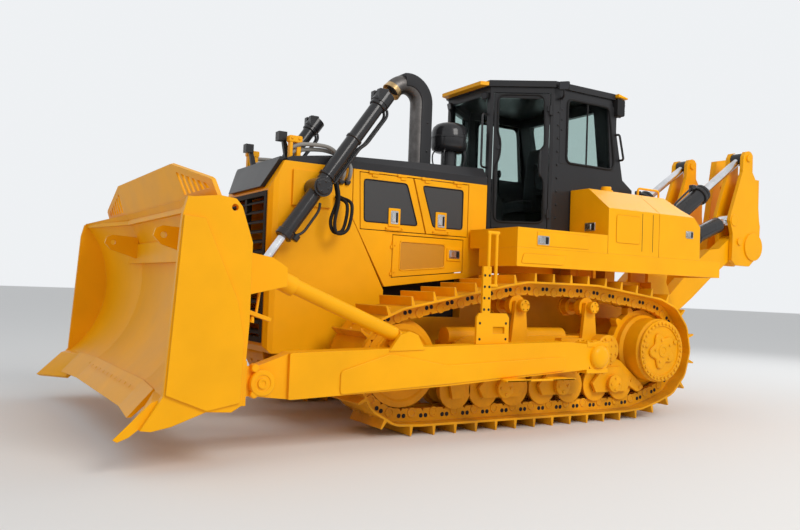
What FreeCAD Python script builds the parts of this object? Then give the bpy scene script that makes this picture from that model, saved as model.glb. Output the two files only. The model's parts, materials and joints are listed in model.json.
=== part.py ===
import FreeCAD, Part
import math
import os
import Sketcher

# Track-type dozer with a semi-U blade and a parallelogram ripper.
# Modelled with the sprocket axle over x = 0, the ground at z = 0, +X ahead and +Y to the left.
# At the end every sub-part is shifted so that the origin is under the middle of the machine.

V = FreeCAD.Vector
doc = FreeCAD.newDocument("Dozer")
sheet = doc.addObject("Spreadsheet::Sheet", "size")

# Driving sizes in millimetres and degrees: name, value, meaning
sizes = [
    ("gap", 0.3, "running gap between seated pieces"),
    ("clearance", 8, "gap around moving panels"),
    ("trackPitch", 228.6, "pitch of the track links"),
    ("trackCentre", 1070, "half the track gauge"),
    ("shoeWidth", 560, "width of a track shoe"),
    ("grouserHeight", 80, "height of the bar on a shoe"),
    ("plateDrop", 100, "pin line to the outer face of the shoe plate"),
    ("plateThickness", 20, "thickness of the shoe plate"),
    ("railRise", 35, "pin line to the running face of the links"),
    ("railInner", 70, "track centre to the inner side of a link"),
    ("railWidth", 60, "width of one row of links"),
    ("sprocketHeight", 720, "height of the sprocket axle"),
    ("sprocketPitchRadius", 460, "pin line radius on the sprocket"),
    ("sprocketWidth", 90, "width of the toothed ring"),
    ("toothReach", 15, "tooth tip beyond the pin line"),
    ("hubRadius", 336, "radius of the final drive cover"),
    ("hubReach", 1420, "outer face of the final drive cover"),
    ("idlerPlace", 3100, "idler axle ahead of the sprocket axle"),
    ("idlerPitchRadius", 420, "pin line radius on the idler"),
    ("idlerFlange", 45, "height of the guide flange on the idler"),
    ("flatEnd", 262, "rear end of the ground run"),
    ("carrierRadius", 86, "radius of a carrier roller"),
    ("carrierFront", 1830, "front carrier roller from the sprocket axle"),
    ("carrierRear", 915, "rear carrier roller from the sprocket axle"),
    ("carrierHeight", 1155, "height of the carrier roller axles"),
    ("chordRoom", 16, "room for the straight links on round wheels"),
    ("rollerRadius", 145, "running radius of a track roller"),
    ("rollerRoom", 4, "room between the links and the track rollers"),
    ("rollerFlange", 26, "height of a roller flange"),
    ("bogieFirst", 578, "rear bogie pivot from the sprocket axle"),
    ("bogieStep", 722, "distance from bogie pivot to bogie pivot"),
    ("bogieHalf", 180, "bogie pivot to each of its rollers"),
    ("bogieRise", 105, "bogie pivot above the roller axles"),
    ("bogieShaft", 32, "radius of a bogie's pivot shaft"),
    ("frontRoller", 2530, "single front roller from the sprocket axle"),
    ("frameHalfWidth", 165, "half width of the track frame"),
    ("frameBottom", 545, "underside of the track frame"),
    ("frameTop", 865, "top of the track frame"),
    ("pivotPlace", 776, "pivot shaft from the sprocket axle"),
    ("pivotHeight", 735, "height of the pivot shaft"),
    ("pivotRadius", 85, "radius of the pivot shaft"),
    ("trunnionPlace", 1186, "push arm trunnion from the sprocket axle"),
    ("trunnionHeight", 696, "height of the push arm trunnion"),
    ("trunnionRadius", 105, "radius of the trunnion ball"),
    ("hullHalfWidth", 450, "half width of the main frame"),
    ("hullRear", -750, "rear face of the main frame"),
    ("hullBottom", 480, "underside of the main frame"),
    ("hullDrop", 250, "top of the main frame below the platform"),
    ("hullFront", 3900, "front face of the main frame"),
    ("hullBend", 3150, "where the underside of the main frame starts to rise"),
    ("hullStep", 1950, "step in the top of the main frame"),
    ("engineRear", 1960, "rear face of the engine"),
    ("engineFront", 3250, "front face of the engine"),
    ("engineHalf", 340, "half width of the engine"),
    ("engineTop", 2200, "top of the engine"),
    ("radiatorRear", 3560, "rear face of the radiator"),
    ("radiatorFront", 3700, "front face of the radiator"),
    ("radiatorHalf", 500, "half width of the radiator"),
    ("radiatorTop", 2250, "top of the radiator"),
    ("equalizerRear", 2640, "rear face of the cross bar"),
    ("equalizerDepth", 160, "depth and height of the cross bar"),
    ("beltHeight", 1000, "top of the main frame under the engine"),
    ("hoodHalfWidth", 600, "half width of the hood and the radiator guard"),
    ("panel", 30, "thickness of hood and guard panels"),
    ("hoodRear", 1760, "rear end of the hood"),
    ("hoodSideTop", 2385, "top of the hood side panels"),
    ("hoodTopRear", 2570, "height of the hood at its rear"),
    ("hoodTopMiddle", 2500, "height of the hood over the fan"),
    ("guardTopPlace", 3343, "seam between hood side and radiator guard, at the top"),
    ("guardFront", 4150, "front edge of the radiator guard"),
    ("guardBreak", 2130, "height where the guard's front leans back"),
    ("guardSlope", 120, "how far the guard's front leans back"),
    ("guardBottom", 660, "underside of the radiator guard"),
    ("maskDepth", 45, "thickness of the name plate carrier"),
    ("deckHeight", 1710, "top of the platform"),
    ("deckHalfWidth", 1380, "half width over the fenders"),
    ("deckInner", 790, "inner edge of a fender"),
    ("skirtDepth", 180, "height of the fender beam"),
    ("skirtPlate", 40, "thickness of the fender plates"),
    ("deckFront", 1980, "front end of the fenders"),
    ("deckRear", -985, "rear end of the fenders"),
    ("stepBoxRise", 190, "top of the box before the side tank over the platform"),
    ("stepBoxInner", 815, "inner side of the boxes on the fenders"),
    ("tankFront", 790, "front face of the side tank"),
    ("tankSeam", 30, "seam between side tank and rear tank"),
    ("tankRear", -635, "rear face of the rear tank"),
    ("tankSideRise", 470, "upper edge of the tank's side over the platform"),
    ("tankRise", 695, "top of the tanks over the platform"),
    ("tankSlope", 300, "width of the sloping upper side"),
    ("cabFront", 1600, "front face of the cab"),
    ("cabFrontHalf", 400, "half width of the cab's front"),
    ("cabCorner", 1050, "door corner of the cab"),
    ("cabHalf", 800, "half width of the cab"),
    ("cabRear", 65, "rear face of the cab"),
    ("cabRise", 1780, "top of the cab's walls over the platform"),
    ("cabLean", 198, "how far the top of the cab's rear leans forwards"),
    ("cabWall", 60, "thickness of cab walls and doors"),
    ("roofThickness", 65, "thickness of the roof"),
    ("roofEdge", 25, "roof beyond the walls"),
    ("sillRise", 260, "lower edge of the cab doors over the platform"),
    ("headRise", 1710, "upper edge of the cab doors over the platform"),
    ("doorPost", 45, "post beside the cab doors"),
    ("doorFrame", 52, "frame around the door glass"),
    ("glass", 8, "thickness of the window glass"),
    ("bladeOverhang", 220, "moldboard beyond the push arm"),
    ("bladeBend", 930, "half width of the straight middle of the blade"),
    ("bladeTopPlace", 5047, "upper edge of the moldboard, middle"),
    ("bladeTopHeight", 1905, "height of the upper edge, middle"),
    ("bladeDeepPlace", 4870, "deepest point of the moldboard, middle"),
    ("bladeDeepHeight", 1200, "height of the deepest point"),
    ("bladeFootPlace", 5253, "lower edge of the moldboard, middle"),
    ("bladeFootHeight", 494, "height of the lower edge"),
    ("wingTopShift", 215, "upper edge of the wing's end ahead of the middle"),
    ("wingTopDrop", 60, "upper edge of the wing's end below the middle"),
    ("wingDeepShift", 150, "deepest point of the wing's end ahead of the middle"),
    ("wingFootShift", 107, "lower edge of the wing's end ahead of the middle"),
    ("moldThickness", 50, "thickness of the moldboard"),
    ("edgeReach", 182, "cutting edge ahead of the moldboard's foot"),
    ("edgeDrop", 183, "cutting edge below the moldboard's foot"),
    ("edgeThickness", 45, "thickness of the cutting edge"),
    ("bitWidth", 420, "width of an end bit"),
    ("endPlate", 40, "thickness of the blade's end plates"),
    ("bladeBack", 4802, "rear edge of the end plates"),
    ("guardHeight", 305, "height of the spill guard"),
    ("guardLean", 20, "forward lean of the spill guard"),
    ("guardPlate", 30, "thickness of the spill guard"),
    ("armRoom", 150, "room between track shoe and push arm"),
    ("armWidth", 180, "width of the push arm"),
    ("bladePinPlace", 4605, "blade pin from the sprocket axle"),
    ("bladePinHeight", 553, "height of the blade pin"),
    ("bladePinRadius", 50, "radius of the blade pin"),
    ("braceRadius", 60, "radius of the blade brace"),
    ("liftCentre", 750, "lift cylinder from the middle plane"),
    ("liftYokePlace", 3760, "lift cylinder pivot from the sprocket axle"),
    ("liftYokeHeight", 2150, "height of the lift cylinder pivot"),
    ("liftEyePlace", 4580, "lift rod eye from the sprocket axle"),
    ("liftEyeHeight", 980, "height of the lift rod eye"),
    ("liftBack", 1085, "lift cylinder behind its pivot"),
    ("liftAhead", 560, "lift cylinder ahead of its pivot"),
    ("liftRadius", 68, "radius of the lift cylinder"),
    ("liftRodRadius", 40, "radius of the lift rod"),
    ("liftPinRadius", 45, "radius of the lift cylinder's pivot pin"),
    ("draftPinPlace", -1080, "lower ripper pivot from the sprocket axle"),
    ("draftPinHeight", 1120, "height of the lower ripper pivot"),
    ("beamPinPlace", -2441, "ripper beam pivot from the sprocket axle"),
    ("beamPinHeight", 2060, "height of the ripper beam pivot"),
    ("tiltPinPlace", -2599, "tilt rod eye from the sprocket axle"),
    ("tiltPinHeight", 3183, "height of the tilt rod eye"),
    ("ripLiftBasePlace", -985, "ripper lift cylinder pivot from the sprocket axle"),
    ("ripLiftDrop", 443, "ripper lift cylinder pivot below the tilt cylinder pivot"),
    ("ripLiftEyePlace", -2339, "ripper lift rod eye from the sprocket axle"),
    ("ripLiftEyeHeight", 2335, "height of the ripper lift rod eye"),
    ("ripperCentre", 450, "ripper arms and cylinders from the middle plane"),
    ("ripBarrelRadius", 105, "radius of the ripper cylinders"),
    ("ripRodRadius", 50, "radius of the ripper rods"),
    ("ripPinRadius", 45, "radius of the ripper pins"),
    ("towerPlate", 50, "thickness of a ripper tower plate"),
    ("towerHalf", 85, "half width of a ripper tower"),
    ("beamRadius", 185, "radius of the ripper beam"),
    ("beamPlace", -2710, "ripper beam axis from the sprocket axle"),
    ("beamHeight", 2017, "height of the ripper beam axis"),
    ("shankTop", 3290, "top of the ripper shank"),
    ("shankBottom", 1700, "lower end of the ripper shank"),
    ("shankAhead", 244, "front of the ripper shank ahead of the beam axis"),
    ("shankDepth", 350, "depth of the ripper shank"),
    ("shankLean", 0.17, "backward lean of the ripper shank for its height"),
    ("shankWidth", 90, "width of the ripper shank"),
]


class Dim:
    # A number that keeps the sheet expression it comes from
    def __init__(self, number, text):
        self.number = float(number)
        self.text = text

    def __float__(self):
        return self.number

    def __neg__(self):
        return Dim(-self.number, f"(-{self.text})")

    def __add__(self, other):
        other = dim(other)
        return Dim(self.number + other.number, f"({self.text} + {other.text})")

    def __radd__(self, other):
        return dim(other) + self

    def __sub__(self, other):
        other = dim(other)
        return Dim(self.number - other.number, f"({self.text} - {other.text})")

    def __rsub__(self, other):
        return dim(other) - self

    def __mul__(self, other):
        other = dim(other)
        return Dim(self.number * other.number, f"({self.text} * {other.text})")

    def __rmul__(self, other):
        return dim(other) * self

    def __truediv__(self, other):
        other = dim(other)
        return Dim(self.number / other.number, f"({self.text} / {other.text})")


def dim(value):
    if isinstance(value, Dim):
        return value
    return Dim(value, f"({float(value)})")


def hypot(a, b):
    a = dim(a)
    b = dim(b)
    return Dim(math.hypot(a.number, b.number), f"sqrt({a.text} ^ 2 + {b.text} ^ 2)")


def cosine(degrees):
    degrees = dim(degrees)
    return Dim(math.cos(math.radians(degrees.number)), f"cos({degrees.text})")


class Sizes:
    pass


s = Sizes()
for row, (alias, number, meaning) in enumerate(sizes, 1):
    sheet.set(f"A{row}", meaning)
    sheet.set(f"B{row}", str(number))
    sheet.setAlias(f"B{row}", alias)
doc.recompute()
for alias, number, meaning in sizes:
    setattr(s, alias, Dim(sheet.get(alias), f"size.{alias}"))

nodes = []

# Sizes that follow from others
s.hullTop = s.deckHeight - s.hullDrop
s.stepBoxTop = s.deckHeight + s.stepBoxRise
s.tankSide = s.deckHeight + s.tankSideRise
s.tankTop = s.deckHeight + s.tankRise
s.cabTop = s.deckHeight + s.cabRise
s.doorSill = s.deckHeight + s.sillRise
s.doorHead = s.deckHeight + s.headRise
s.armInner = s.trackCentre + s.shoeWidth / 2 + s.armRoom
s.armOuter = s.armInner + s.armWidth
s.bladeHalf = s.armOuter + s.bladeOverhang
s.bitStart = s.bladeHalf - s.bitWidth
tiltBasePlace = s.draftPinPlace + (s.tiltPinPlace - s.beamPinPlace)
tiltBaseHeight = s.draftPinHeight + (s.tiltPinHeight - s.beamPinHeight)
s.ripLiftBaseHeight = tiltBaseHeight - s.ripLiftDrop


# Basic pieces

def bind(obj, prop, value):
    obj.setExpression(prop, dim(value).text)


def box(x0, x1, y0, y1, z0, z1):
    piece = doc.addObject("Part::Box", "Block")
    bind(piece, "Length", x1 - dim(x0))
    bind(piece, "Width", y1 - dim(y0))
    bind(piece, "Height", z1 - dim(z0))
    bind(piece, "Placement.Base.x", x0)
    bind(piece, "Placement.Base.y", y0)
    bind(piece, "Placement.Base.z", z0)
    return piece


turns = {
    "X": FreeCAD.Rotation(V(0, 1, 0), 90),
    "Y": FreeCAD.Rotation(V(1, 0, 0), -90),
    "Z": FreeCAD.Rotation(),
}


def shaft(axis, start, end, a, b, radius):
    # Cylinder along X, Y or Z from start to end; a and b are its other two coordinates in order
    piece = doc.addObject("Part::Cylinder", "Shaft")
    bind(piece, "Radius", radius)
    bind(piece, "Height", end - dim(start))
    piece.Placement = FreeCAD.Placement(V(0, 0, 0), turns[axis])
    order = {"X": (start, a, b), "Y": (a, start, b), "Z": (a, b, start)}[axis]
    for letter, value in zip("xyz", order):
        bind(piece, f"Placement.Base.{letter}", value)
    return piece


def strut(x0, z0, x1, z1, y, radius, start=0, end=None):
    # Cylinder in a side plane on the line from one point to another, between two distances
    span = hypot(x1 - dim(x0), z1 - dim(z0))
    end = span if end is None else dim(end)
    piece = doc.addObject("Part::Cylinder", "Strut")
    bind(piece, "Radius", radius)
    bind(piece, "Height", end - dim(start))
    along = V(float(x1) - float(x0), 0, float(z1) - float(z0)).normalize()
    piece.Placement = FreeCAD.Placement(V(0, 0, 0), FreeCAD.Rotation(V(0, 0, 1), along))
    share = dim(start) / span
    bind(piece, "Placement.Base.x", x0 + (x1 - dim(x0)) * share)
    bind(piece, "Placement.Base.y", y)
    bind(piece, "Placement.Base.z", z0 + (z1 - dim(z0)) * share)
    return piece


planes = {
    "XY": (FreeCAD.Rotation(), V(0, 0, 1), "z"),
    "XZ": (FreeCAD.Rotation(V(1, 0, 0), 90), V(0, 1, 0), "y"),
    "YZ": (FreeCAD.Rotation(V(0.5, 0.5, 0.5), 120), V(1, 0, 0), "x"),
}


def outline(plane, points, place):
    sketch = doc.addObject("Sketcher::SketchObject", "Outline")
    count = len(points)
    corners = [V(float(a), float(b), 0) for a, b in points]
    for i in range(count):
        sketch.addGeometry(Part.LineSegment(corners[i], corners[(i + 1) % count]), False)
    for i in range(count):
        sketch.addConstraint(Sketcher.Constraint("Coincident", i, 2, (i + 1) % count, 1))
    for i, point in enumerate(points):
        for kind, value in zip(("DistanceX", "DistanceY"), point):
            index = sketch.addConstraint(Sketcher.Constraint(kind, -1, 1, i, 1, float(value)))
            if isinstance(value, Dim):
                sketch.setExpression(f"Constraints[{index}]", value.text)
    turn, _, letter = planes[plane]
    sketch.Placement = FreeCAD.Placement(V(0, 0, 0), turn)
    bind(sketch, f"Placement.Base.{letter}", place)
    return sketch


def prism(plane, points, start, end):
    # Outline in a plane, extruded along the plane's normal from start to end
    piece = doc.addObject("Part::Extrusion", "Plate")
    piece.Base = outline(plane, points, start)
    piece.DirMode = "Custom"
    piece.Dir = planes[plane][1]
    piece.Solid = True
    bind(piece, "LengthFwd", end - dim(start))
    return piece


def turned(points, x, y, z):
    # Body of revolution about an axis along Y; points are (distance along the axis, radius)
    body = doc.addObject("PartDesign::Body", "Turned")
    sketch = body.newObject("Sketcher::SketchObject", "Profile")
    ground = [f for f in body.Origin.OriginFeatures if f.Role == "XY_Plane"][0]
    sketch.AttachmentSupport = [(ground, "")]
    sketch.MapMode = "FlatFace"
    count = len(points)
    corners = [V(float(radius), float(along), 0) for along, radius in points]
    for i in range(count):
        sketch.addGeometry(Part.LineSegment(corners[i], corners[(i + 1) % count]), False)
    for i in range(count):
        sketch.addConstraint(Sketcher.Constraint("Coincident", i, 2, (i + 1) % count, 1))
    for i, (along, radius) in enumerate(points):
        for kind, value in (("DistanceX", radius), ("DistanceY", along)):
            index = sketch.addConstraint(Sketcher.Constraint(kind, -1, 1, i, 1, float(value)))
            if isinstance(value, Dim):
                sketch.setExpression(f"Constraints[{index}]", value.text)
    doc.recompute()
    spin = body.newObject("PartDesign::Revolution", "Spin")
    spin.Profile = sketch
    spin.ReferenceAxis = (sketch, ["V_Axis"])
    spin.Angle = 360
    bind(body, "Placement.Base.x", x)
    bind(body, "Placement.Base.y", y)
    bind(body, "Placement.Base.z", z)
    return body


def shaped(shape):
    piece = doc.addObject("Part::Feature", "Form")
    piece.Shape = shape
    return piece


def fuse(pieces):
    if len(pieces) == 1:
        return pieces[0]
    piece = doc.addObject("Part::MultiFuse", "Joined")
    piece.Shapes = pieces
    return piece


def cut(base, tools):
    piece = doc.addObject("Part::Cut", "Opened")
    piece.Base = base
    piece.Tool = fuse(tools)
    return piece


def both(piece):
    # The piece and its mirror image on the other side of the machine
    return [piece, mirror(piece)]


def mirror(piece):
    image = doc.addObject("Part::Mirroring", "Image")
    image.Source = piece
    image.Normal = V(0, 1, 0)
    return image


def group(pieces):
    piece = doc.addObject("Part::Compound", "Set")
    piece.Links = pieces
    return piece


def node(label, piece):
    piece.Label = label
    nodes.append(piece)
    return piece


def pair(label, piece):
    node(label + "_left", piece)
    node(label + "_right", mirror(piece))


# Tracks

pinLine = s.grouserHeight + s.plateDrop
railTop = pinLine + s.railRise
idlerHeight = pinLine + s.idlerPitchRadius
carrierPath = s.carrierRadius + s.railRise + s.chordRoom
trackInner = s.trackCentre - s.shoeWidth / 2
trackOuter = s.trackCentre + s.shoeWidth / 2


def beltPath(wheels):
    # Straight runs and arcs around the wheels, counter-clockwise seen from the right
    count = len(wheels)
    normals = []
    for i in range(count):
        x0, z0, r0 = wheels[i]
        x1, z1, r1 = wheels[(i + 1) % count]
        reach = math.hypot(x1 - x0, z1 - z0)
        normals.append(math.atan2(z1 - z0, x1 - x0) - math.pi / 2 + math.asin((r0 - r1) / reach))
    runs = []
    for i in range(count):
        x0, z0, r0 = wheels[i]
        x1, z1, r1 = wheels[(i + 1) % count]
        a = normals[i]
        start = (x0 + r0 * math.cos(a), z0 + r0 * math.sin(a))
        end = (x1 + r1 * math.cos(a), z1 + r1 * math.sin(a))
        runs.append(("line", math.dist(start, end), start, end))
        sweep = (normals[(i + 1) % count] - a) % (2 * math.pi)
        if r1 * sweep > 0:
            runs.append(("arc", r1 * sweep, (x1, z1, r1), a))
    return runs


def pointAt(runs, distance):
    total = sum(run[1] for run in runs)
    distance %= total
    for kind, reach, first, second in runs:
        if distance <= reach:
            if kind == "line":
                share = distance / reach
                return tuple(p + (q - p) * share for p, q in zip(first, second))
            x, z, radius = first
            angle = second + distance / radius
            return (x + radius * math.cos(angle), z + radius * math.sin(angle))
        distance -= reach
    return pointAt(runs, 0)


def ring(rows, shape):
    # Closed outline: for each link, points given as (share of the pitch, distance outside the pin line)
    points = []
    for (x0, z0), (x1, z1) in rows:
        reach = math.hypot(x1 - x0, z1 - z0)
        along = ((x1 - x0) / reach, (z1 - z0) / reach)
        for share, out in shape:
            points.append((
                x0 + (x1 - x0) * share + along[1] * out,
                z0 + (z1 - z0) * share - along[0] * out,
            ))
    return points


def slab(points, y0, y1):
    wire = Part.makePolygon([V(x, y0, z) for x, z in points + points[:1]])
    return Part.Face(wire).extrude(V(0, y1 - y0, 0))


def trackLoop():
    wheels = [
        (float(s.flatEnd), float(pinLine), 0),
        (float(s.idlerPlace), float(idlerHeight), float(s.idlerPitchRadius)),
        (float(s.carrierFront), float(s.carrierHeight), float(carrierPath)),
        (float(s.carrierRear), float(s.carrierHeight), float(carrierPath)),
        (0, float(s.sprocketHeight), float(s.sprocketPitchRadius)),
    ]
    runs = beltPath(wheels)
    total = sum(run[1] for run in runs)
    count = round(total / float(s.trackPitch))
    pins = [pointAt(runs, total * (k - 0.25) / count) for k in range(count)]
    rows = [(pins[k], pins[(k + 1) % count]) for k in range(count)]
    plate = float(s.plateDrop)
    bar = plate + float(s.grouserHeight)
    inner = plate - float(s.plateThickness)
    rail = float(s.railRise)
    outside = ring(rows, [(0.03, plate), (0.30, plate), (0.34, bar), (0.41, bar), (0.45, plate), (0.97, plate)])
    inside = ring(rows, [(0.03, inner), (0.97, inner)])
    shoes = slab(outside, float(trackInner), float(trackOuter))
    shoes = shoes.cut(slab(inside, float(trackInner) - 1, float(trackOuter) + 1))
    chain = []
    links = ring(rows, [(0.02, inner + 5), (0.98, inner + 5)])
    faces = ring(rows, [(0.08, -rail), (0.42, -rail), (0.50, -rail + 22), (0.58, -rail), (0.92, -rail)])
    for side in (-1, 1):
        a = float(s.trackCentre) + side * float(s.railInner)
        b = a + side * float(s.railWidth)
        rows2 = slab(links, min(a, b), max(a, b))
        chain.append(rows2.cut(slab(faces, min(a, b) - 1, max(a, b) + 1)))
    loop = shoes.fuse(chain)
    return loop.removeSplitter()


pair("track", shaped(trackLoop()))


# Wheels of the undercarriage

def toothedRing():
    # Round trapezoid teeth, one for each link that wraps the sprocket
    pitchRadius = float(s.sprocketPitchRadius)
    count = round(2 * math.pi * pitchRadius / float(s.trackPitch))
    root = pitchRadius - 45
    tip = pitchRadius + float(s.toothReach)
    points = []
    for k in range(count):
        for share, radius in ((0.0, root), (0.28, root), (0.42, tip), (0.58, tip), (0.72, root)):
            angle = 2 * math.pi * (k + share) / count
            points.append((radius * math.cos(angle), float(s.sprocketHeight) + radius * math.sin(angle)))
    half = float(s.sprocketWidth) / 2
    return slab(points, float(s.trackCentre) - half, float(s.trackCentre) + half)


toothed = shaped(toothedRing())
coverInner = s.trackCentre + s.sprocketWidth / 2 - 5
drum = turned([
    (0, 0), (0, s.hubRadius + 30), (60, s.hubRadius + 30), (90, s.hubRadius),
    (s.hubReach - coverInner - 45, s.hubRadius), (s.hubReach - coverInner, s.hubRadius - 40),
    (s.hubReach - coverInner, 0),
], 0, coverInner, s.sprocketHeight)
node("sprockets", group(both(fuse([toothed, drum]))))

idlerRim = s.idlerPitchRadius * cosine(s.trackPitch / s.idlerPitchRadius * 28.648) - s.railRise - s.gap
idlerHalf = s.railInner + s.railWidth
idlerHub = idlerHalf + 33
flangeHalf = s.railInner - 8
idler = turned([
    (-idlerHub, 0), (-idlerHub, 110), (-idlerHalf + 10, 130), (-idlerHalf + 10, idlerRim - 70),
    (-idlerHalf, idlerRim - 50), (-idlerHalf, idlerRim), (-flangeHalf, idlerRim),
    (-flangeHalf + 12, idlerRim + s.idlerFlange),
    (flangeHalf - 12, idlerRim + s.idlerFlange), (flangeHalf, idlerRim), (idlerHalf, idlerRim),
    (idlerHalf, idlerRim - 50), (idlerHalf - 10, idlerRim - 70), (idlerHalf - 10, 130), (idlerHub, 110),
    (idlerHub, 0),
], s.idlerPlace, s.trackCentre, idlerHeight)
node("idlers", group(both(idler)))

rollerHeight = railTop + s.rollerRadius + s.rollerRoom
rollerHalf = s.railInner + s.railWidth + 28
plateInner = s.frameHalfWidth + 12
bogies = [s.bogieFirst + s.bogieStep * k for k in range(3)]
bogiePivot = rollerHeight + s.bogieRise
rollerPlaces = [place + side * s.bogieHalf for place in bogies for side in (-1, 1)] + [s.frontRoller]


def roller(x, z, radius, flange, half, axle):
    y = s.trackCentre
    slim = s.railInner - 8
    treads = [
        shaft("Y", y - half, y - slim, x, z, radius),
        shaft("Y", y + slim, y + half, x, z, radius),
    ]
    rims = [
        shaft("Y", y - half, y - half + 20, x, z, radius + flange),
        shaft("Y", y + half - 20, y + half, x, z, radius + flange),
    ]
    pin = shaft("Y", y - axle, y + axle, x, z, 45)
    return fuse(treads + [pin] + rims)


trackRollers = [
    roller(x, rollerHeight, s.rollerRadius, s.rollerFlange, rollerHalf, plateInner - s.gap)
    for x in rollerPlaces
]


def bogie(x):
    # Two side plates that carry a pair of rollers, on one pivot shaft with an end cap
    pieces = []
    low = rollerHeight - 75
    top = s.frameBottom - s.gap
    points = [
        (x - s.bogieHalf - 95, rollerHeight + 20), (x - s.bogieHalf - 40, low), (x + s.bogieHalf + 40, low),
        (x + s.bogieHalf + 95, rollerHeight + 20), (x + 110, top), (x - 110, top),
    ]
    for start in (s.trackCentre - plateInner - 35, s.trackCentre + plateInner):
        pieces.append(prism("XZ", points, start, start + 35))
    pieces.append(shaft(
        "Y", s.trackCentre - plateInner - 10, s.trackCentre + plateInner + 10, x, bogiePivot, s.bogieShaft))
    pieces.append(shaft(
        "Y", s.trackCentre + plateInner + 30, s.trackCentre + plateInner + 75, x, rollerHeight + 15, 78))
    return fuse(pieces)


node("bogies", group([image for x in bogies for image in both(bogie(x))]))

carrierHalf = s.railInner + s.railWidth + 28
carriers = []
for x in (s.carrierFront, s.carrierRear):
    carriers.append(roller(x, s.carrierHeight, s.carrierRadius, 14, carrierHalf, carrierHalf + 10))
node("rollers", group([image for piece in trackRollers + carriers for image in both(piece)]))


# Track frames

yokeRear = s.idlerPlace - s.idlerPitchRadius - 130
frameSide = s.trackCentre + s.frameHalfWidth
frameOutline = [
    (s.pivotPlace - 240, s.frameBottom + 60), (s.pivotPlace - 190, s.frameBottom), (yokeRear, s.frameBottom),
    (yokeRear, s.frameTop - 60), (yokeRear - 150, s.frameTop), (s.pivotPlace - 190, s.frameTop),
    (s.pivotPlace - 240, s.frameTop - 90),
]
framePieces = [prism("XZ", frameOutline, s.trackCentre - s.frameHalfWidth, frameSide)]
framePieces.append(shaft(
    "X", s.pivotPlace + 400, yokeRear + 60, s.trackCentre + 60, s.frameTop - 10, 85))
yoke = [
    (yokeRear - 60, idlerHeight - 85), (s.idlerPlace + 60, idlerHeight - 60), (s.idlerPlace + 95, idlerHeight),
    (s.idlerPlace + 60, idlerHeight + 60), (yokeRear - 60, idlerHeight + 100),
]
yokeGap = idlerHub + s.gap
for start in (s.trackCentre - yokeGap - 45, s.trackCentre + yokeGap):
    framePieces.append(prism("XZ", yoke, start, start + 45))
hanger = [
    (s.frontRoller - 120, s.frameBottom + 20), (s.frontRoller - 60, rollerHeight - 70),
    (s.frontRoller + 60, rollerHeight - 70), (s.frontRoller + 120, s.frameBottom + 20),
]
for start in (s.trackCentre - plateInner - 30, s.trackCentre + plateInner):
    framePieces.append(prism("XZ", hanger, start, start + 30))
for side in (-1, 1):
    framePieces.append(box(
        s.frontRoller - 100, s.frontRoller + 100, s.trackCentre + side * (s.frameHalfWidth + 10) - 25,
        s.trackCentre + side * (s.frameHalfWidth + 10) + 25, s.frameBottom, s.frameBottom + 60))
for x in (s.carrierFront, s.carrierRear):
    inner = s.trackCentre + carrierHalf + 10 + s.gap
    framePieces.append(prism("XZ", [
        (x - 110, s.frameTop - 110), (x + 110, s.frameTop - 110), (x + 60, s.carrierHeight + 45),
        (x - 60, s.carrierHeight + 45),
    ], inner, inner + 40))
    framePieces.append(box(
        x - 110, x + 110, frameSide - 20, inner + 10, s.frameTop - 110, s.frameTop - 40))
    framePieces.append(shaft("Y", inner + 30, inner + 75, x, s.carrierHeight, 55))
lugHalf = s.railInner - 15
lugReach = s.bogieShaft + 38
for x in bogies:
    framePieces.append(box(
        x - lugReach, x + lugReach, s.trackCentre - lugHalf, s.trackCentre + lugHalf,
        bogiePivot - s.bogieShaft - 13, s.frameBottom + 10))
pivotCap = frameSide + 150
framePieces.append(shaft("Y", frameSide - 20, pivotCap, s.pivotPlace, s.pivotHeight, 150))
framePieces.append(box(
    s.trunnionPlace - 150, s.trunnionPlace + 150, frameSide - 20, frameSide + 90, s.trunnionHeight - 150,
    s.trunnionHeight + 150))
framePieces.append(shaft(
    "Y", frameSide + 60, s.armInner + 40, s.trunnionPlace, s.trunnionHeight, s.trunnionRadius - 40))
node("track_frames", group(both(cut(fuse(framePieces), [
    shaft("Y", s.trackCentre - s.frameHalfWidth - 10, frameSide - 60, s.pivotPlace, s.pivotHeight,
          s.pivotRadius + s.gap),
] + [
    shaft("Y", s.trackCentre - lugHalf - 10, s.trackCentre + lugHalf + 10, x, bogiePivot,
          s.bogieShaft + s.gap)
    for x in bogies
]))))


# Main frame, pivot shafts and engine

hull = prism("XZ", [
    (s.hullRear, s.hullBottom + 230), (s.hullRear + 160, s.hullBottom), (s.hullBend, s.hullBottom),
    (s.hullFront, s.guardBottom + 60), (s.hullFront, s.beltHeight), (s.hullStep, s.beltHeight),
    (s.hullStep, s.hullTop),
    (s.hullRear, s.hullTop),
], -s.hullHalfWidth, s.hullHalfWidth)
drives = shaft(
    "Y", s.hullHalfWidth - 20, s.trackCentre - s.sprocketWidth / 2 - s.gap, 0, s.sprocketHeight,
    s.hubRadius - 30)
deckPosts = [
    box(x, x + 160, s.hullHalfWidth - 150, s.hullHalfWidth, s.hullTop - 20,
        s.deckHeight - s.skirtPlate - s.gap)
    for x in (-300, 1600)
]
pivotHole = shaft(
    "Y", -s.hullHalfWidth - 10, s.hullHalfWidth + 10, s.pivotPlace, s.pivotHeight, s.pivotRadius + s.gap)
guardPad = box(
    s.hullFront - 500, s.hullFront - 100, s.hullHalfWidth - 20, s.hoodHalfWidth - s.panel - s.gap, s.beltHeight - 260,
    s.beltHeight - 40)
hullPieces = [hull] + both(drives) + both(guardPad) + [part for post in deckPosts for part in both(post)]
node("main_frame", cut(fuse(hullPieces), [pivotHole]))
pivotEnd = frameSide - 60 - s.gap
pivotShaft = shaft("Y", -pivotEnd, pivotEnd, s.pivotPlace, s.pivotHeight, s.pivotRadius)

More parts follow.
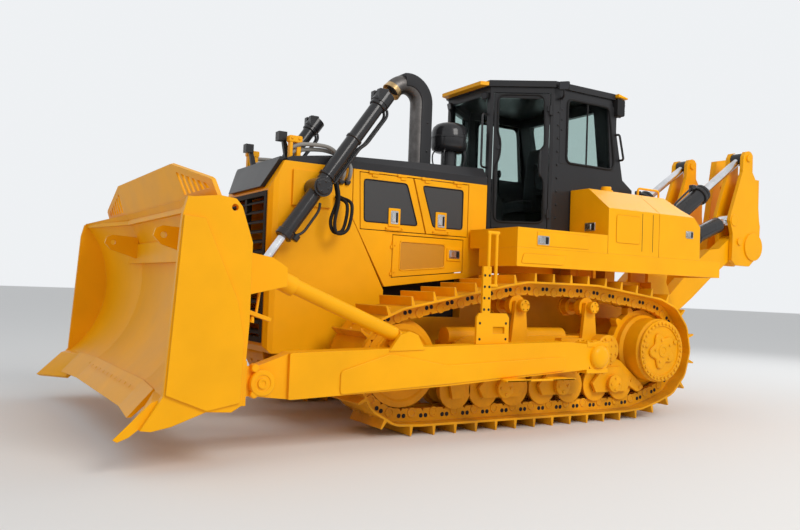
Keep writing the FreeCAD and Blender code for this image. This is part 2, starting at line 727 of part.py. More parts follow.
equalizerHeight = s.frameTop - 150
barEnd = s.trackCentre - yokeGap - 45 - s.gap
equalizerHalf = s.hullHalfWidth + s.gap
node("cross_shafts", group([pivotShaft] + both(box(
    s.equalizerRear, s.equalizerRear + s.equalizerDepth, equalizerHalf, barEnd,
    equalizerHeight - s.equalizerDepth / 2, equalizerHeight + s.equalizerDepth / 2))))
node("engine", box(
    s.engineRear, s.engineFront, -s.engineHalf, s.engineHalf, s.beltHeight + s.gap, s.engineTop))
node("radiator", box(
    s.radiatorRear, s.radiatorFront, -s.radiatorHalf, s.radiatorHalf, s.beltHeight + s.gap,
    s.radiatorTop))


# Hood, radiator guard and engine doors

guardFoot = s.guardTopPlace - 375
guardWaist = 1820
guardOutline = [
    (guardFoot + 60, s.guardBottom + 120), (guardFoot + 260, s.guardBottom), (s.guardFront - 60, s.guardBottom),
    (s.guardFront, s.guardBottom + 60), (s.guardFront, s.guardBreak),
    (s.guardFront - s.guardSlope, s.hoodSideTop), (s.guardTopPlace, s.hoodSideTop),
    (s.guardTopPlace - 9, guardWaist + 98), (s.guardTopPlace - 67, guardWaist), (guardFoot, 1257),
    (guardFoot, 1100),
]
guardPlan = [
    (guardFoot - 10, s.hoodHalfWidth), (s.guardFront - 75, s.hoodHalfWidth),
    (s.guardFront - 30, s.hoodHalfWidth - 18), (s.guardFront, s.hoodHalfWidth - 62),
]
grilleHalf = s.hoodHalfWidth - 80
grilleTop = s.guardBreak - 20
grilleFoot = s.guardBottom + 90


def whole(plan):
    # Both halves of a plan view outline that is symmetric about the middle plane
    return plan + [(x, -y) for x, y in reversed(plan)]


def common(first, second):
    piece = doc.addObject("Part::Common", "Shared")
    piece.Base = first
    piece.Tool = second
    return piece


guardBlock = common(
    prism("XZ", guardOutline, -s.hoodHalfWidth, s.hoodHalfWidth),
    prism("XY", whole(guardPlan), s.guardBottom - 10, s.hoodSideTop + 10))
guardWall = s.hoodHalfWidth - s.panel
guardRoom = [
    box(guardFoot - 100, s.hullFront + 10, -guardWall, guardWall, s.guardBottom - 50, s.hoodSideTop - s.panel),
    box(s.hullFront, s.guardFront - 150, -guardWall, guardWall, s.guardBottom + s.panel,
        s.hoodSideTop - s.panel),
    box(s.guardFront - 160, s.guardFront - 70, -guardWall, guardWall, s.guardBottom + s.panel,
        s.guardBreak - 20),
    box(s.guardFront - 80, s.guardFront + 10, -grilleHalf, grilleHalf, grilleFoot, grilleTop),
]
node("radiator_guard", cut(guardBlock, guardRoom))

g = s.gap
grilleBase = s.guardFront - 45
grille = [cut(
    box(grilleBase, s.guardFront + 12, -grilleHalf + g, grilleHalf - g, grilleFoot + g, grilleTop - g),
    [box(grilleBase - 10, s.guardFront + 20, -grilleHalf + 45, grilleHalf - 45, grilleFoot + 45,
         grilleTop - 45)])]
grille.append(box(grilleBase, s.guardFront + 6, -25, 25, grilleFoot + 20, grilleTop - 20))
slatCount = 14
slatStep = (grilleTop - grilleFoot - 90) / slatCount
for k in range(slatCount):
    z = grilleFoot + 45 + slatStep * (k + 0.3)
    grille.append(prism("XZ", [
        (grilleBase + 5, z + 30), (grilleBase + 5, z + 42), (s.guardFront + 8, z + 12), (s.guardFront + 8, z),
    ], -grilleHalf + 35, grilleHalf - 35))
node("front_grille", fuse(grille))


def guardFace(z):
    # Place of the leaning front above the grille
    return s.guardFront - (z - s.guardBreak) * s.guardSlope / (s.hoodSideTop - s.guardBreak)


maskLow = s.guardBreak + 20
maskTop = s.hoodSideTop + 38
maskSlab = prism("XZ", [
    (guardFace(maskTop) + g * 2, maskTop), (guardFace(maskTop) + g * 2 + s.maskDepth, maskTop),
    (guardFace(maskLow) + g * 2 + s.maskDepth, maskLow), (guardFace(maskLow) + g * 2, maskLow),
], -560, 560)
maskShape = prism("YZ", [
    (-420, maskLow - 10), (420, maskLow - 10), (556, maskTop - 30), (556, maskTop + 30), (-556, maskTop + 30),
    (-556, maskTop - 30),
], s.guardFront - 300, s.guardFront + 120)
node("nose_plate", common(maskSlab, maskShape))

hoodNose = s.guardFront - s.guardSlope - 25
hoodTop = prism("XZ", [
    (s.hoodRear, s.hoodSideTop + s.gap), (s.hoodRear, s.hoodTopRear), (s.guardTopPlace + 100, s.hoodTopMiddle),
    (hoodNose - 40, maskTop + 6), (hoodNose, maskTop - 12), (hoodNose, s.hoodSideTop + s.gap),
], -s.hoodHalfWidth, s.hoodHalfWidth)
bevel = [
    (s.hoodHalfWidth - 110, s.hoodTopRear + 40), (s.hoodHalfWidth + 20, s.hoodSideTop + 45),
    (s.hoodHalfWidth + 20, s.hoodTopRear + 40),
]
bevels = both(prism("YZ", bevel, s.hoodRear - 10, s.guardFront + 10))
hoodRoom = prism("XZ", [
    (s.hoodRear + s.panel, s.hoodSideTop - 10), (s.hoodRear + s.panel, s.hoodTopRear - s.panel),
    (s.guardTopPlace + 60, s.hoodTopMiddle - s.panel), (s.guardTopPlace + 60, s.hoodSideTop - 10),
], -s.hoodHalfWidth + 130, s.hoodHalfWidth - 130)
stackPlace = 2350
stackSide = 150
stackRadius = 97
bowlPlace = 1935
bowlSide = 130
neckRadius = 110
pipeHoles = [
    shaft("Z", s.hoodSideTop, s.hoodTopRear + 50, stackPlace, stackSide, stackRadius + s.gap),
    shaft("Z", s.hoodSideTop, s.hoodTopRear + 50, bowlPlace, bowlSide, neckRadius + s.gap),
]
node("hood_top", cut(hoodTop, bevels + [hoodRoom] + pipeHoles))

sideInner = s.hoodHalfWidth - s.panel
sideBottomFront = 1290
sideBottomRear = 1470
hoodSide = prism("XZ", [
    (s.hoodRear, sideBottomRear), (s.deckFront + 20, sideBottomRear - 60), (guardFoot - 20, sideBottomFront),
    (guardFoot - s.clearance, sideBottomFront), (s.guardTopPlace - 67 - s.clearance, guardWaist),
    (s.guardTopPlace - 9 - s.clearance, guardWaist + 98), (s.guardTopPlace - s.clearance, s.hoodSideTop),
    (s.hoodRear, s.hoodSideTop),
], sideInner, s.hoodHalfWidth)
doorTop = s.hoodSideTop - 25
doorBottom = guardWaist + 10
splitTop = 2665
splitBottom = 2505
doorFront = s.guardTopPlace - 80
doorRear = s.deckFront + 20
lowerFront = guardFoot - 90
doorLow = 1470
lowerDoor = [
    (doorRear + 50, doorLow), (lowerFront, doorLow - 85), (lowerFront, guardWaist - 30),
    (doorRear + 50, guardWaist - 30)]


c = s.clearance
knuckle = 9
hingeOut = s.hoodHalfWidth + 10


def topHinge(x0, x1, side):
    # Half of a hinge along X over an upper door; side -1 belongs to the door, 1 to the hood
    z = doorTop + c / 2
    leaf = box(x0, x1, s.hoodHalfWidth - 3, hingeOut, z - 34, z) if side < 0 else box(
        x0, x1, s.hoodHalfWidth - 3, hingeOut, z, z + 20)
    return [leaf, shaft("X", x0, x1, hingeOut, z, knuckle)]


def frontHinge(z0, z1, side):
    # Half of an upright hinge at the front edge of a lower door
    x = lowerFront + c / 2
    leaf = box(x - 34, x, s.hoodHalfWidth - 3, hingeOut, z0, z1) if side < 0 else box(
        x, x + 24, s.hoodHalfWidth - 3, hingeOut, z0, z1)
    return [leaf, shaft("Z", z0, z1, x, hingeOut, knuckle)]


hingePlaces = [(doorRear, splitTop), (splitTop, doorFront)]
hoodLeaves = []
doorLeaves = []
for rear, front in hingePlaces:
    leaves = []
    for x in (dim(rear) + 90, dim(front) - 190):
        leaves += topHinge(x, x + 60, -1)
        hoodLeaves += topHinge(x + 60 + g, x + 100, 1)
    doorLeaves.append(leaves)
lowerLeaves = []
for z in (1430, 1690):
    lowerLeaves += frontHinge(dim(z), dim(z) + 40, -1)
    hoodLeaves += frontHinge(dim(z) - 30, dim(z) - g, 1)
openings = [
    prism("XZ", [
        (doorRear - c, doorTop + c), (doorRear - c, doorBottom - c), (doorFront - 25 + c, doorBottom - c),
        (doorFront + c, doorTop + c),
    ], sideInner - 10, s.hoodHalfWidth + 10),
    prism("XZ", [
        (doorRear + 50 - c, doorLow - c), (lowerFront + c, doorLow - 85 - c),
        (lowerFront + c, guardWaist - 30 + c),
        (doorRear + 50 - c, guardWaist - 30 + c),
    ], sideInner - 10, s.hoodHalfWidth + 10),
]
node("hood_sides", group(both(fuse([cut(hoodSide, openings)] + hoodLeaves))))


def meshPanel(points):
    return prism("XZ", points, s.hoodHalfWidth - 6, s.hoodHalfWidth + 10)


splitHalf = s.clearance
frontPlate = prism("XZ", [
    (splitTop + splitHalf, doorTop), (splitBottom + splitHalf, doorBottom), (doorFront - 25, doorBottom),
    (doorFront, doorTop)], sideInner, s.hoodHalfWidth)
frontWindow = meshPanel([
    (splitTop + 75, doorTop - 60), (splitBottom + 100, doorBottom + 70), (doorFront - 60, doorBottom + 70),
    (doorFront - 45, doorTop - 60)])
rearPlate = prism("XZ", [
    (doorRear, doorTop), (doorRear, doorBottom), (splitBottom - splitHalf, doorBottom),
    (splitTop - splitHalf, doorTop)], sideInner, s.hoodHalfWidth)
rearWindow = meshPanel([
    (doorRear + 65, doorTop - 60), (doorRear + 65, doorBottom + 70), (splitBottom - 85, doorBottom + 70),
    (splitTop - 110, doorTop - 60)])
lowerPlate = prism("XZ", lowerDoor, sideInner, s.hoodHalfWidth)
lowerMesh = meshPanel([
    (doorRear + 270, 1500), (lowerFront - 80, 1450), (lowerFront - 80, guardWaist - 85),
    (doorRear + 270, guardWaist - 85)])
pair("engine_door_front", fuse([cut(frontPlate, [frontWindow])] + doorLeaves[1]))
pair("engine_door_rear", fuse([cut(rearPlate, [rearWindow])] + doorLeaves[0]))
pair("lower_door", fuse([cut(lowerPlate, [lowerMesh])] + lowerLeaves))

def noseHeight(x):
    # Height of the hood's top over the radiator
    fall = (s.hoodTopMiddle - (maskTop + 6)) / (hoodNose - 40 - (s.guardTopPlace + 100))
    return s.hoodTopMiddle - fall * (x - (s.guardTopPlace + 100))


lampTop = maskTop + 245
lampSide = 421
lamp = fuse([
    box(hoodNose - 45, hoodNose + 35, lampSide - 42, lampSide + 42, lampTop - 84, lampTop),
    prism("XZ", [
        (hoodNose - 95, noseHeight(hoodNose - 95) + g), (hoodNose - 44, lampTop - 60),
        (hoodNose - 10, lampTop - 60), (hoodNose - 45, noseHeight(hoodNose - 45) + g),
    ], lampSide - 20, lampSide + 20),
])
node("nose_lamps", group(both(lamp)))

stackTop = 3220
elbow = 180
elbowTurn = 142
pipe = shaft("Z", s.engineTop + s.gap, stackTop, stackPlace, stackSide, stackRadius)
bend = doc.addObject("Part::Torus", "Elbow")
bend.Radius1 = elbow
bend.Radius2 = stackRadius
bend.Angle3 = elbowTurn
bend.Placement = FreeCAD.Placement(
    V(stackPlace + elbow, stackSide, stackTop), FreeCAD.Rotation(V(1, 0, 0), 90).multiply(
        FreeCAD.Rotation(V(0, 0, 1), 180 - elbowTurn)))
node("exhaust_stack", fuse([pipe, bend]))
bowl = turned(
    [(0, 0), (0, 182), (50, 205), (230, 195), (295, 150), (325, 60), (325, 0)], bowlPlace, bowlSide, 2760)
bowl.Placement = FreeCAD.Placement(V(bowlPlace, bowlSide, 2760), FreeCAD.Rotation(V(1, 0, 0), 90))
neck = shaft("Z", s.engineTop + s.gap, 2770, bowlPlace, bowlSide, neckRadius)
node("precleaner", fuse([bowl, neck]))


# Platform, boxes and tanks

def fender():
    shell = box(s.deckRear, s.deckFront, s.deckInner, s.deckHalfWidth, s.deckHeight - s.skirtDepth, s.deckHeight)
    room = box(
        s.deckRear + s.skirtPlate, s.deckFront - s.skirtPlate, s.deckInner - 10, s.deckHalfWidth - s.skirtPlate,
        s.deckHeight - s.skirtDepth - 10, s.deckHeight - s.skirtPlate)
    return cut(shell, [room])


floorPlate = box(
    s.tankRear, s.hoodRear - 20, -s.deckInner - 10, s.deckInner + 10, s.deckHeight - s.skirtPlate, s.deckHeight)
node("platform", fuse([floorPlate] + both(fender())))

deckTop = s.deckHeight + s.gap
stepStart = s.tankFront + 6
doorLine = [
    (s.cabCorner + 20, s.stepBoxInner), (s.cabFront + 25, s.cabFrontHalf + 25),
    (s.cabFront + 45, s.hoodHalfWidth + 30),
]
node("step_boxes", group(both(prism("XY", [(stepStart, s.stepBoxInner)] + doorLine + [
    (s.deckFront, s.hoodHalfWidth + 30), (s.deckFront, s.deckHalfWidth), (stepStart, s.deckHalfWidth),
], deckTop, s.stepBoxTop))))
tankSection = [
    (s.stepBoxInner, deckTop), (s.deckHalfWidth, deckTop), (s.deckHalfWidth, s.tankSide),
    (s.deckHalfWidth - s.tankSlope, s.tankTop), (s.stepBoxInner, s.tankTop),
]
node("side_tanks", group(both(prism("YZ", tankSection, s.tankSeam + 6, s.tankFront))))
rearSection = [
    (-s.deckHalfWidth, deckTop), (s.deckHalfWidth, deckTop), (s.deckHalfWidth, s.tankSide),
    (s.deckHalfWidth - s.tankSlope, s.tankTop), (-s.deckHalfWidth + s.tankSlope, s.tankTop),
    (-s.deckHalfWidth, s.tankSide),
]
rearBlock = prism("YZ", rearSection, s.tankRear, s.tankSeam)
rearSlope = prism("XZ", [
    (s.tankRear - 10, s.tankSide - 110), (s.tankRear + 190, s.tankSide + 80), (s.tankRear + 260, s.tankTop + 10),
    (s.tankRear - 10, s.tankTop + 10),
], -s.deckHalfWidth - 10, s.deckHalfWidth + 10)
node("rear_tank", cut(rearBlock, [rearSlope]))


# Cab

doorRun = hypot(s.cabFront - s.cabCorner, s.cabHalf - s.cabFrontHalf)
outX = (s.cabHalf - s.cabFrontHalf) / doorRun
outY = (s.cabFront - s.cabCorner) / doorRun


def cabPlan(inset):
    # Corners of the cab on the left, from the middle of the front to the middle of the rear
    front = s.cabFront - inset
    side = s.cabHalf - inset
    level = outX * s.cabFront + outY * s.cabFrontHalf - inset
    return [
        (front, (level - outX * front) / outY),
        ((level - outY * side) / outX, side),
        (s.cabRear + inset, side),
    ]


cabShell = prism("XY", whole(cabPlan(dim(0))), deckTop, s.cabTop)
cabRoom = prism("XY", whole(cabPlan(s.cabWall)), s.deckHeight + s.cabWall, s.cabTop + 10)
leanFoot = s.deckHeight + 890
leanPlace = s.cabRear - 73
leanSlope = s.cabLean / (s.cabTop - leanFoot)
shelfTop = s.deckHeight + 785
leanAway = prism("XZ", [
    (leanPlace - 300, leanFoot), (leanPlace, leanFoot), (leanPlace + s.cabLean + leanSlope * 20, s.cabTop + 20),
    (leanPlace - 300, s.cabTop + 20),
], -s.cabHalf - 10, s.cabHalf + 10)
leanWall = prism("XZ", [
    (s.cabRear - 230, s.tankTop + s.gap), (s.cabRear + s.cabWall, s.tankTop + s.gap),
    (s.cabRear + s.cabWall, leanFoot), (leanPlace + s.cabWall + s.cabLean, s.cabTop),
    (leanPlace + s.cabLean, s.cabTop), (leanPlace, leanFoot), (s.cabRear - 230, shelfTop),
], -s.cabHalf, s.cabHalf)
doorAngle = math.degrees(math.atan2(float(s.cabFrontHalf - s.cabHalf), float(s.cabFront - s.cabCorner)))
doorLength = doorRun - 2 * s.doorPost


def atDoor(along, inward, length, depth, z0, z1):
    # Block in the plane of the left door, from its rear post forwards, set inwards from the outer face
    piece = doc.addObject("Part::Box", "DoorBlock")
    bind(piece, "Length", length)
    bind(piece, "Width", depth)
    bind(piece, "Height", z1 - dim(z0))
    piece.Placement = FreeCAD.Placement(V(0, 0, 0), FreeCAD.Rotation(V(0, 0, 1), doorAngle))
    bind(piece, "Placement.Base.x", s.cabCorner + outY * along - outX * (inward + depth))
    bind(piece, "Placement.Base.y", s.cabHalf - outX * along - outY * (inward + depth))
    bind(piece, "Placement.Base.z", z0)
    return piece


wall = s.cabWall
doorHole = atDoor(
    s.doorPost - c, dim(-60), doorLength + 2 * c, wall + 110, s.doorSill - c, s.doorHead + c)
hingeAlong = s.doorPost - c / 2
hingeReach = 16


def doorHinge(z0, z1, side):
    # Half of a door hinge; side -1 belongs to the door, 1 to the cab
    start = hingeAlong if side < 0 else hingeAlong - 30
    pin = doc.addObject("Part::Cylinder", "Knuckle")
    bind(pin, "Radius", 13)
    bind(pin, "Height", z1 - dim(z0))
    bind(pin, "Placement.Base.x", s.cabCorner + outY * hingeAlong + outX * hingeReach)
    bind(pin, "Placement.Base.y", s.cabHalf - outX * hingeAlong + outY * hingeReach)
    bind(pin, "Placement.Base.z", z0)
    return [atDoor(start, dim(-18), dim(30), dim(23), z0, z1), pin]


cabLeaves = []
cabDoorLeaves = []
for z in (s.deckHeight + 410, s.deckHeight + 1520):
    cabDoorLeaves += doorHinge(z, z + 60, -1)
    cabLeaves += doorHinge(z - 40, z - g, 1)
frontSill = s.deckHeight + 620
windowFoot = s.deckHeight + 980
windowHead = s.deckHeight + 1700
rearWindowFront = s.cabCorner - 130
rearWindowRear = s.cabRear + 125
frontHole = box(
    s.cabFront - wall - 20, s.cabFront + 20, -s.cabFrontHalf + 55, s.cabFrontHalf - 55, frontSill, windowHead)
sideHole = prism("XZ", [
    (rearWindowRear, windowFoot), (rearWindowFront, windowFoot), (rearWindowFront + 40, windowHead),
    (rearWindowRear + 60, windowHead),
], s.cabHalf - wall - 20, s.cabHalf + 20)
backHole = box(
    s.cabRear - 120, s.cabRear + wall + s.cabLean + 20, -560, 560, windowFoot + 20, windowHead - 30)
cabWalls = cut(
    fuse([cut(cabShell, [cabRoom]), leanWall]),
    [leanAway, frontHole, backHole] + both(sideHole) + both(doorHole))
node("cab_shell", fuse([cabWalls] + [image for leaf in cabLeaves for image in both(leaf)]))

roofPlan = cabPlan(-s.roofEdge)
roofPlan[2] = (leanPlace + s.cabLean - s.roofEdge, s.cabHalf + s.roofEdge)
roof = prism("XY", whole(roofPlan), s.cabTop + s.gap, s.cabTop + s.roofThickness)
visor = prism("XY", [
    (s.cabFront - 30, -420), (s.cabFront + 115, -365), (s.cabFront + 115, 365), (s.cabFront - 30, 420),
], s.cabTop + 10, s.cabTop + 50)
node("cab_roof", roof)
node("cab_visor", cut(visor, [
    prism("XY", whole(cabPlan(-s.roofEdge - s.gap)), s.cabTop - 10, s.cabTop + s.roofThickness + 10)]))

doorBlock = atDoor(s.doorPost, dim(0), doorLength, wall, s.doorSill, s.doorHead)
doorGlassHole = atDoor(
    s.doorPost + s.doorFrame, dim(-20), doorLength - 2 * s.doorFrame, wall + 40, s.doorSill + s.doorFrame,
    s.doorHead - s.doorFrame)
pair("cab_door", fuse([cut(doorBlock, [doorGlassHole])] + cabDoorLeaves))
pair("door_glass", atDoor(
    s.doorPost + s.doorFrame + s.gap, dim(20), doorLength - 2 * s.doorFrame - 2 * s.gap, s.glass,
    s.doorSill + s.doorFrame + s.gap, s.doorHead - s.doorFrame - s.gap))

sideGlass = prism("XZ", [
    (rearWindowRear + g, windowFoot + g), (rearWindowFront - g, windowFoot + g),
    (rearWindowFront + 40 - g, windowHead - g), (rearWindowRear + 60 + g, windowHead - g),
], s.cabHalf - 30, s.cabHalf - 30 + s.glass)
frontGlass = box(
    s.cabFront - 30, s.cabFront - 30 + s.glass, -s.cabFrontHalf + 55 + g, s.cabFrontHalf - 55 - g, frontSill + g,
    windowHead - g)
backAt = leanPlace + 25 - leanSlope * leanFoot
backFoot = windowFoot + 20 + g
backHead = windowHead - 30 - g
backGlass = prism("XZ", [
    (backAt + leanSlope * backFoot, backFoot), (backAt + leanSlope * backFoot + s.glass, backFoot),
    (backAt + leanSlope * backHead + s.glass, backHead), (backAt + leanSlope * backHead, backHead),
], -560 + g, 560 - g)
node("cab_glass", group([frontGlass, backGlass] + both(sideGlass)))

floorTop = s.deckHeight + s.cabWall + s.gap
seatPieces = [
    box(480, 980, -250, 250, floorTop + 430, floorTop + 550),
    prism("XZ", [
        (430, floorTop + 480), (560, floorTop + 480), (470, floorTop + 1230), (340, floorTop + 1190),
    ], -240, 240),
    box(580, 880, -180, 180, floorTop, floorTop + 450),
] + both(box(520, 900, 270, 390, floorTop + 610, floorTop + 680)) + both(
    box(560, 860, 230, 330, floorTop + 440, floorTop + 630))
node("seat", fuse(seatPieces))
node("console", prism("XZ", [
    (1290, floorTop), (1500, floorTop), (1510, floorTop + 510), (1430, floorTop + 650),
    (1290, floorTop + 490)], -290, 290))


# Blade

def bladePoint(name, y):
    # Place and height of the moldboard's top, deep or foot line at a distance from the middle plane
    share = max(0.0, (abs(y) - float(s.bladeBend)) / (float(s.bladeHalf) - float(s.bladeBend)))
    lines = {
        "top": (s.bladeTopPlace, s.bladeTopHeight, s.wingTopShift, -s.wingTopDrop),
        "deep": (s.bladeDeepPlace, s.bladeDeepHeight, s.wingDeepShift, dim(0)),
        "foot": (s.bladeFootPlace, s.bladeFootHeight, s.wingFootShift, dim(0)),
    }
    x, z, ahead, up = (float(value) for value in lines[name])
    return (x + ahead * share, z + up * share)


def moldProfile(y):
    thick = float(s.moldThickness)
    top = bladePoint("top", y)
    deep = bladePoint("deep", y)
    foot = bladePoint("foot", y)
    front = Part.Arc(V(top[0], y, top[1]), V(deep[0], y, deep[1]), V(foot[0], y, foot[1])).toShape()
    back = Part.Arc(
        V(foot[0] - thick, y, foot[1]), V(deep[0] - thick, y, deep[1]), V(top[0] - thick, y, top[1])).toShape()
    low = Part.makeLine(V(foot[0], y, foot[1]), V(foot[0] - thick, y, foot[1]))
    high = Part.makeLine(V(top[0] - thick, y, top[1]), V(top[0], y, top[1]))
    return Part.Wire([front, low, back, high])


def edgeProfile(y, reach, drop):
    # Plate that slants down and forwards from the moldboard's foot
    x, z = bladePoint("foot", y)
    span = math.hypot(reach, drop)
    thick = float(s.edgeThickness)
    nx = -drop / span * thick
    nz = -reach / span * thick
    corners = [
        (x + 6, z + 12), (x + reach, z - drop), (x + reach + nx, z - drop), (x + 6 + nx * 1.3, z + nz * 0.6)]
    return Part.makePolygon([V(a, y, b) for a, b in corners + corners[:1]])


def bitProfile(y):
    # Section of an end bit, from its inner end to its outer one; points are counted from the foot line
    share = (abs(y) - float(s.bitStart)) / float(s.bitWidth)
    inner = [(-20, 10), (4, -6), (133, -233), (112, -252), (84, -226), (42, -165), (-45, -42)]
    outer = [(-20, 10), (79, -24), (310, -249), (280, -267), (210, -239), (140, -184), (-20, -42)]
    x, z = bladePoint("foot", y)
    corners = [
        (x + a + (c - a) * share, z + b + (d - b) * share) for (a, b), (c, d) in zip(inner, outer)]
    return Part.makePolygon([V(a, y, b) for a, b in corners + corners[:1]])


def loft(wires):
    return Part.makeLoft(wires, True, True)


def moldboard():
    bend = float(s.bladeBend)
    half = float(s.bladeHalf)
    middle = loft([moldProfile(-bend), moldProfile(bend)])
    wings = [loft([moldProfile(side * bend), moldProfile(side * half)]) for side in (-1, 1)]
    start = float(s.bitStart)
    edge = (float(s.edgeReach), float(s.edgeDrop))
    pieces = [loft([edgeProfile(-bend, *edge), edgeProfile(bend, *edge)])]
    for side in (-1, 1):
        pieces.append(loft([edgeProfile(side * bend, *edge), edgeProfile(side * start, *edge)]))
        pieces.append(loft([bitProfile(side * start), bitProfile(side * half)]))
    return middle.multiFuse(wings + pieces)


def rib(y, thick):
    # Upright plate between the moldboard and the rear edge line of the blade
    back = float(s.bladeBack)
    inset = float(s.moldThickness) / 2
    top = bladePoint("top", y)
    deep = bladePoint("deep", y)
    foot = bladePoint("foot", y)
    arc = Part.Arc(V(top[0] - inset, y, top[1] - 20), V(deep[0] - inset, y, deep[1]),
                   V(foot[0] - inset, y, foot[1] + 20)).toShape()
    chain = [
        (foot[0] - inset, foot[1] + 20), (foot[0] - 260, foot[1] - 60), (back, foot[1] - 60),
        (back, top[1] - 330), (back + 90, top[1] - 60), (top[0] - inset, top[1] - 20),
    ]
    lines = [
        Part.makeLine(V(a[0], y, a[1]), V(b[0], y, b[1])) for a, b in zip(chain, chain[1:]) if a != b]
    face = Part.Face(Part.Wire([arc] + lines))
    return face.extrude(V(0, thick, 0))


ribs = [rib(y - 20, 40) for y in (-1350, -750, -250, 250, 750, 1350)]
backBeams = [
    box(s.bladeBack, s.bladeDeepPlace + 120, -s.bladeHalf + 10, s.bladeHalf - 10, s.bladeFootHeight - 60,
        s.bladeFootHeight + 190),
    box(s.bladeBack + 20, s.bladeDeepPlace + 60, -s.bladeHalf + 10, s.bladeHalf - 10, 1430, 1620),
]
sidePlate = prism("XZ", [
    (s.bladeFootPlace + s.wingFootShift + 150, s.bladeFootHeight - 195),
    (s.bladeFootPlace + s.wingFootShift + 12, s.bladeFootHeight + 20),
    (s.bladeTopPlace + s.wingTopShift + 35, s.bladeTopHeight - 190),
    (s.bladeTopPlace + s.wingTopShift + 5, s.bladeTopHeight - s.wingTopDrop - 10),
    (s.bladeBack + 245, s.bladeTopHeight - 40), (s.bladeBack + 130, s.bladeTopHeight - 55),
    (s.bladeBack + 85, s.bladeTopHeight - 105), (s.bladeBack, s.bladeTopHeight - 350),
    (s.bladeBack, s.bladeFootHeight + 500), (s.bladeBack + 30, s.bladeFootHeight - 60),
    (s.bladeBack + 105, s.bladeFootHeight - 105), (s.bladeBack + 280, s.bladeFootHeight - 95),
    (s.bladeBack + 510, s.bladeFootHeight - 180), (s.bladeBack + 640, s.bladeFootHeight - 205),
], s.bladeHalf - 5, s.bladeHalf + s.endPlate)
wear = prism("XZ", [
    (s.bladeFootPlace + s.wingFootShift, s.bladeFootHeight + 30),
    (s.bladeTopPlace + s.wingTopShift + 28, s.bladeTopHeight - 195),
    (s.bladeTopPlace + s.wingTopShift - 115, s.bladeTopHeight - 205), (s.bladeBack + 95, 1150),
    (s.bladeBack + 40, 880), (s.bladeBack + 50, s.bladeFootHeight - 40),
    (s.bladeBack + 280, s.bladeFootHeight - 85),
], s.bladeHalf + s.endPlate - 5, s.bladeHalf + s.endPlate + 18)
topPlate = prism("XY", [
    (s.bladeBack + 110, -s.bladeHalf + 5), (s.bladeTopPlace + s.wingTopShift - 20, -s.bladeHalf + 5),
    (s.bladeTopPlace - 20, -s.bladeBend), (s.bladeTopPlace - 20, s.bladeBend),
    (s.bladeTopPlace + s.wingTopShift - 20, s.bladeHalf - 5), (s.bladeBack + 110, s.bladeHalf - 5),
], s.bladeTopHeight - s.wingTopDrop - 40, s.bladeTopHeight - s.wingTopDrop)

pinGap = s.armInner + 30
lugPoints = [
    (s.bladePinPlace - 70, s.bladePinHeight - 60), (s.bladePinPlace - 30, s.bladePinHeight - 85),
    (s.bladeBack + 60, s.bladePinHeight - 110), (s.bladeBack + 60, s.bladePinHeight + 160),
    (s.bladePinPlace - 20, s.bladePinHeight + 90), (s.bladePinPlace - 70, s.bladePinHeight + 50),
]
lugs = []
for start in (pinGap - 45, s.armOuter - 30 + s.gap):
    lugs.append(prism("XZ", lugPoints, start, start + 45))
lugs.append(shaft(
    "Y", pinGap - 60, s.armOuter + 30, s.bladePinPlace, s.bladePinHeight, s.bladePinRadius))
lugs.append(box(
    s.bladeBack - 10, s.bladeBack + 90, s.armInner - 40, s.bladeHalf, s.bladePinHeight - 130,
    s.bladePinHeight + 180))
liftLugs = [(s.liftEyePlace - 60, s.liftEyeHeight - 60), (s.bladeBack + 60, s.liftEyeHeight - 190),
            (s.bladeBack + 60, s.liftEyeHeight + 210), (s.liftEyePlace - 60, s.liftEyeHeight + 60)]
eyeHalf = 60
for start in (s.liftCentre - eyeHalf - s.clearance - 40, s.liftCentre + eyeHalf + s.clearance):
    lugs.append(prism("XZ", liftLugs, start, start + 40))
lugs.append(box(
    s.bladeBack - 10, s.bladeDeepPlace - 25, s.liftCentre - 200, s.liftCentre + 200, s.liftEyeHeight - 200,
    s.liftEyeHeight + 220))
braceTopPlace = 4490
braceTopHeight = 1330
braceSide = (s.armInner + s.armOuter) / 2
bracket = prism("XZ", [
    (braceTopPlace - 60, braceTopHeight - 70), (s.bladeBack + 60, braceTopHeight - 170),
    (s.bladeBack + 60, braceTopHeight + 190), (braceTopPlace + 60, braceTopHeight + 140),
    (braceTopPlace - 60, braceTopHeight + 70),
], braceSide - 110, braceSide - 62)
bracketOuter = prism("XZ", [
    (braceTopPlace - 60, braceTopHeight - 70), (s.bladeBack + 60, braceTopHeight - 170),
    (s.bladeBack + 60, braceTopHeight + 190), (braceTopPlace + 60, braceTopHeight + 140),
    (braceTopPlace - 60, braceTopHeight + 70),
], braceSide + 62, braceSide + 110)
bracketBack = prism("XY", [
    (s.bladeBack, braceSide - 130), (s.bladeDeepPlace + 55, braceSide - 130),
    (s.bladeDeepPlace + s.wingDeepShift - 20, s.bladeHalf), (s.bladeBack, s.bladeHalf),
], braceTopHeight - 200, braceTopHeight + 200)
lugs += [bracket, bracketOuter, bracketBack]


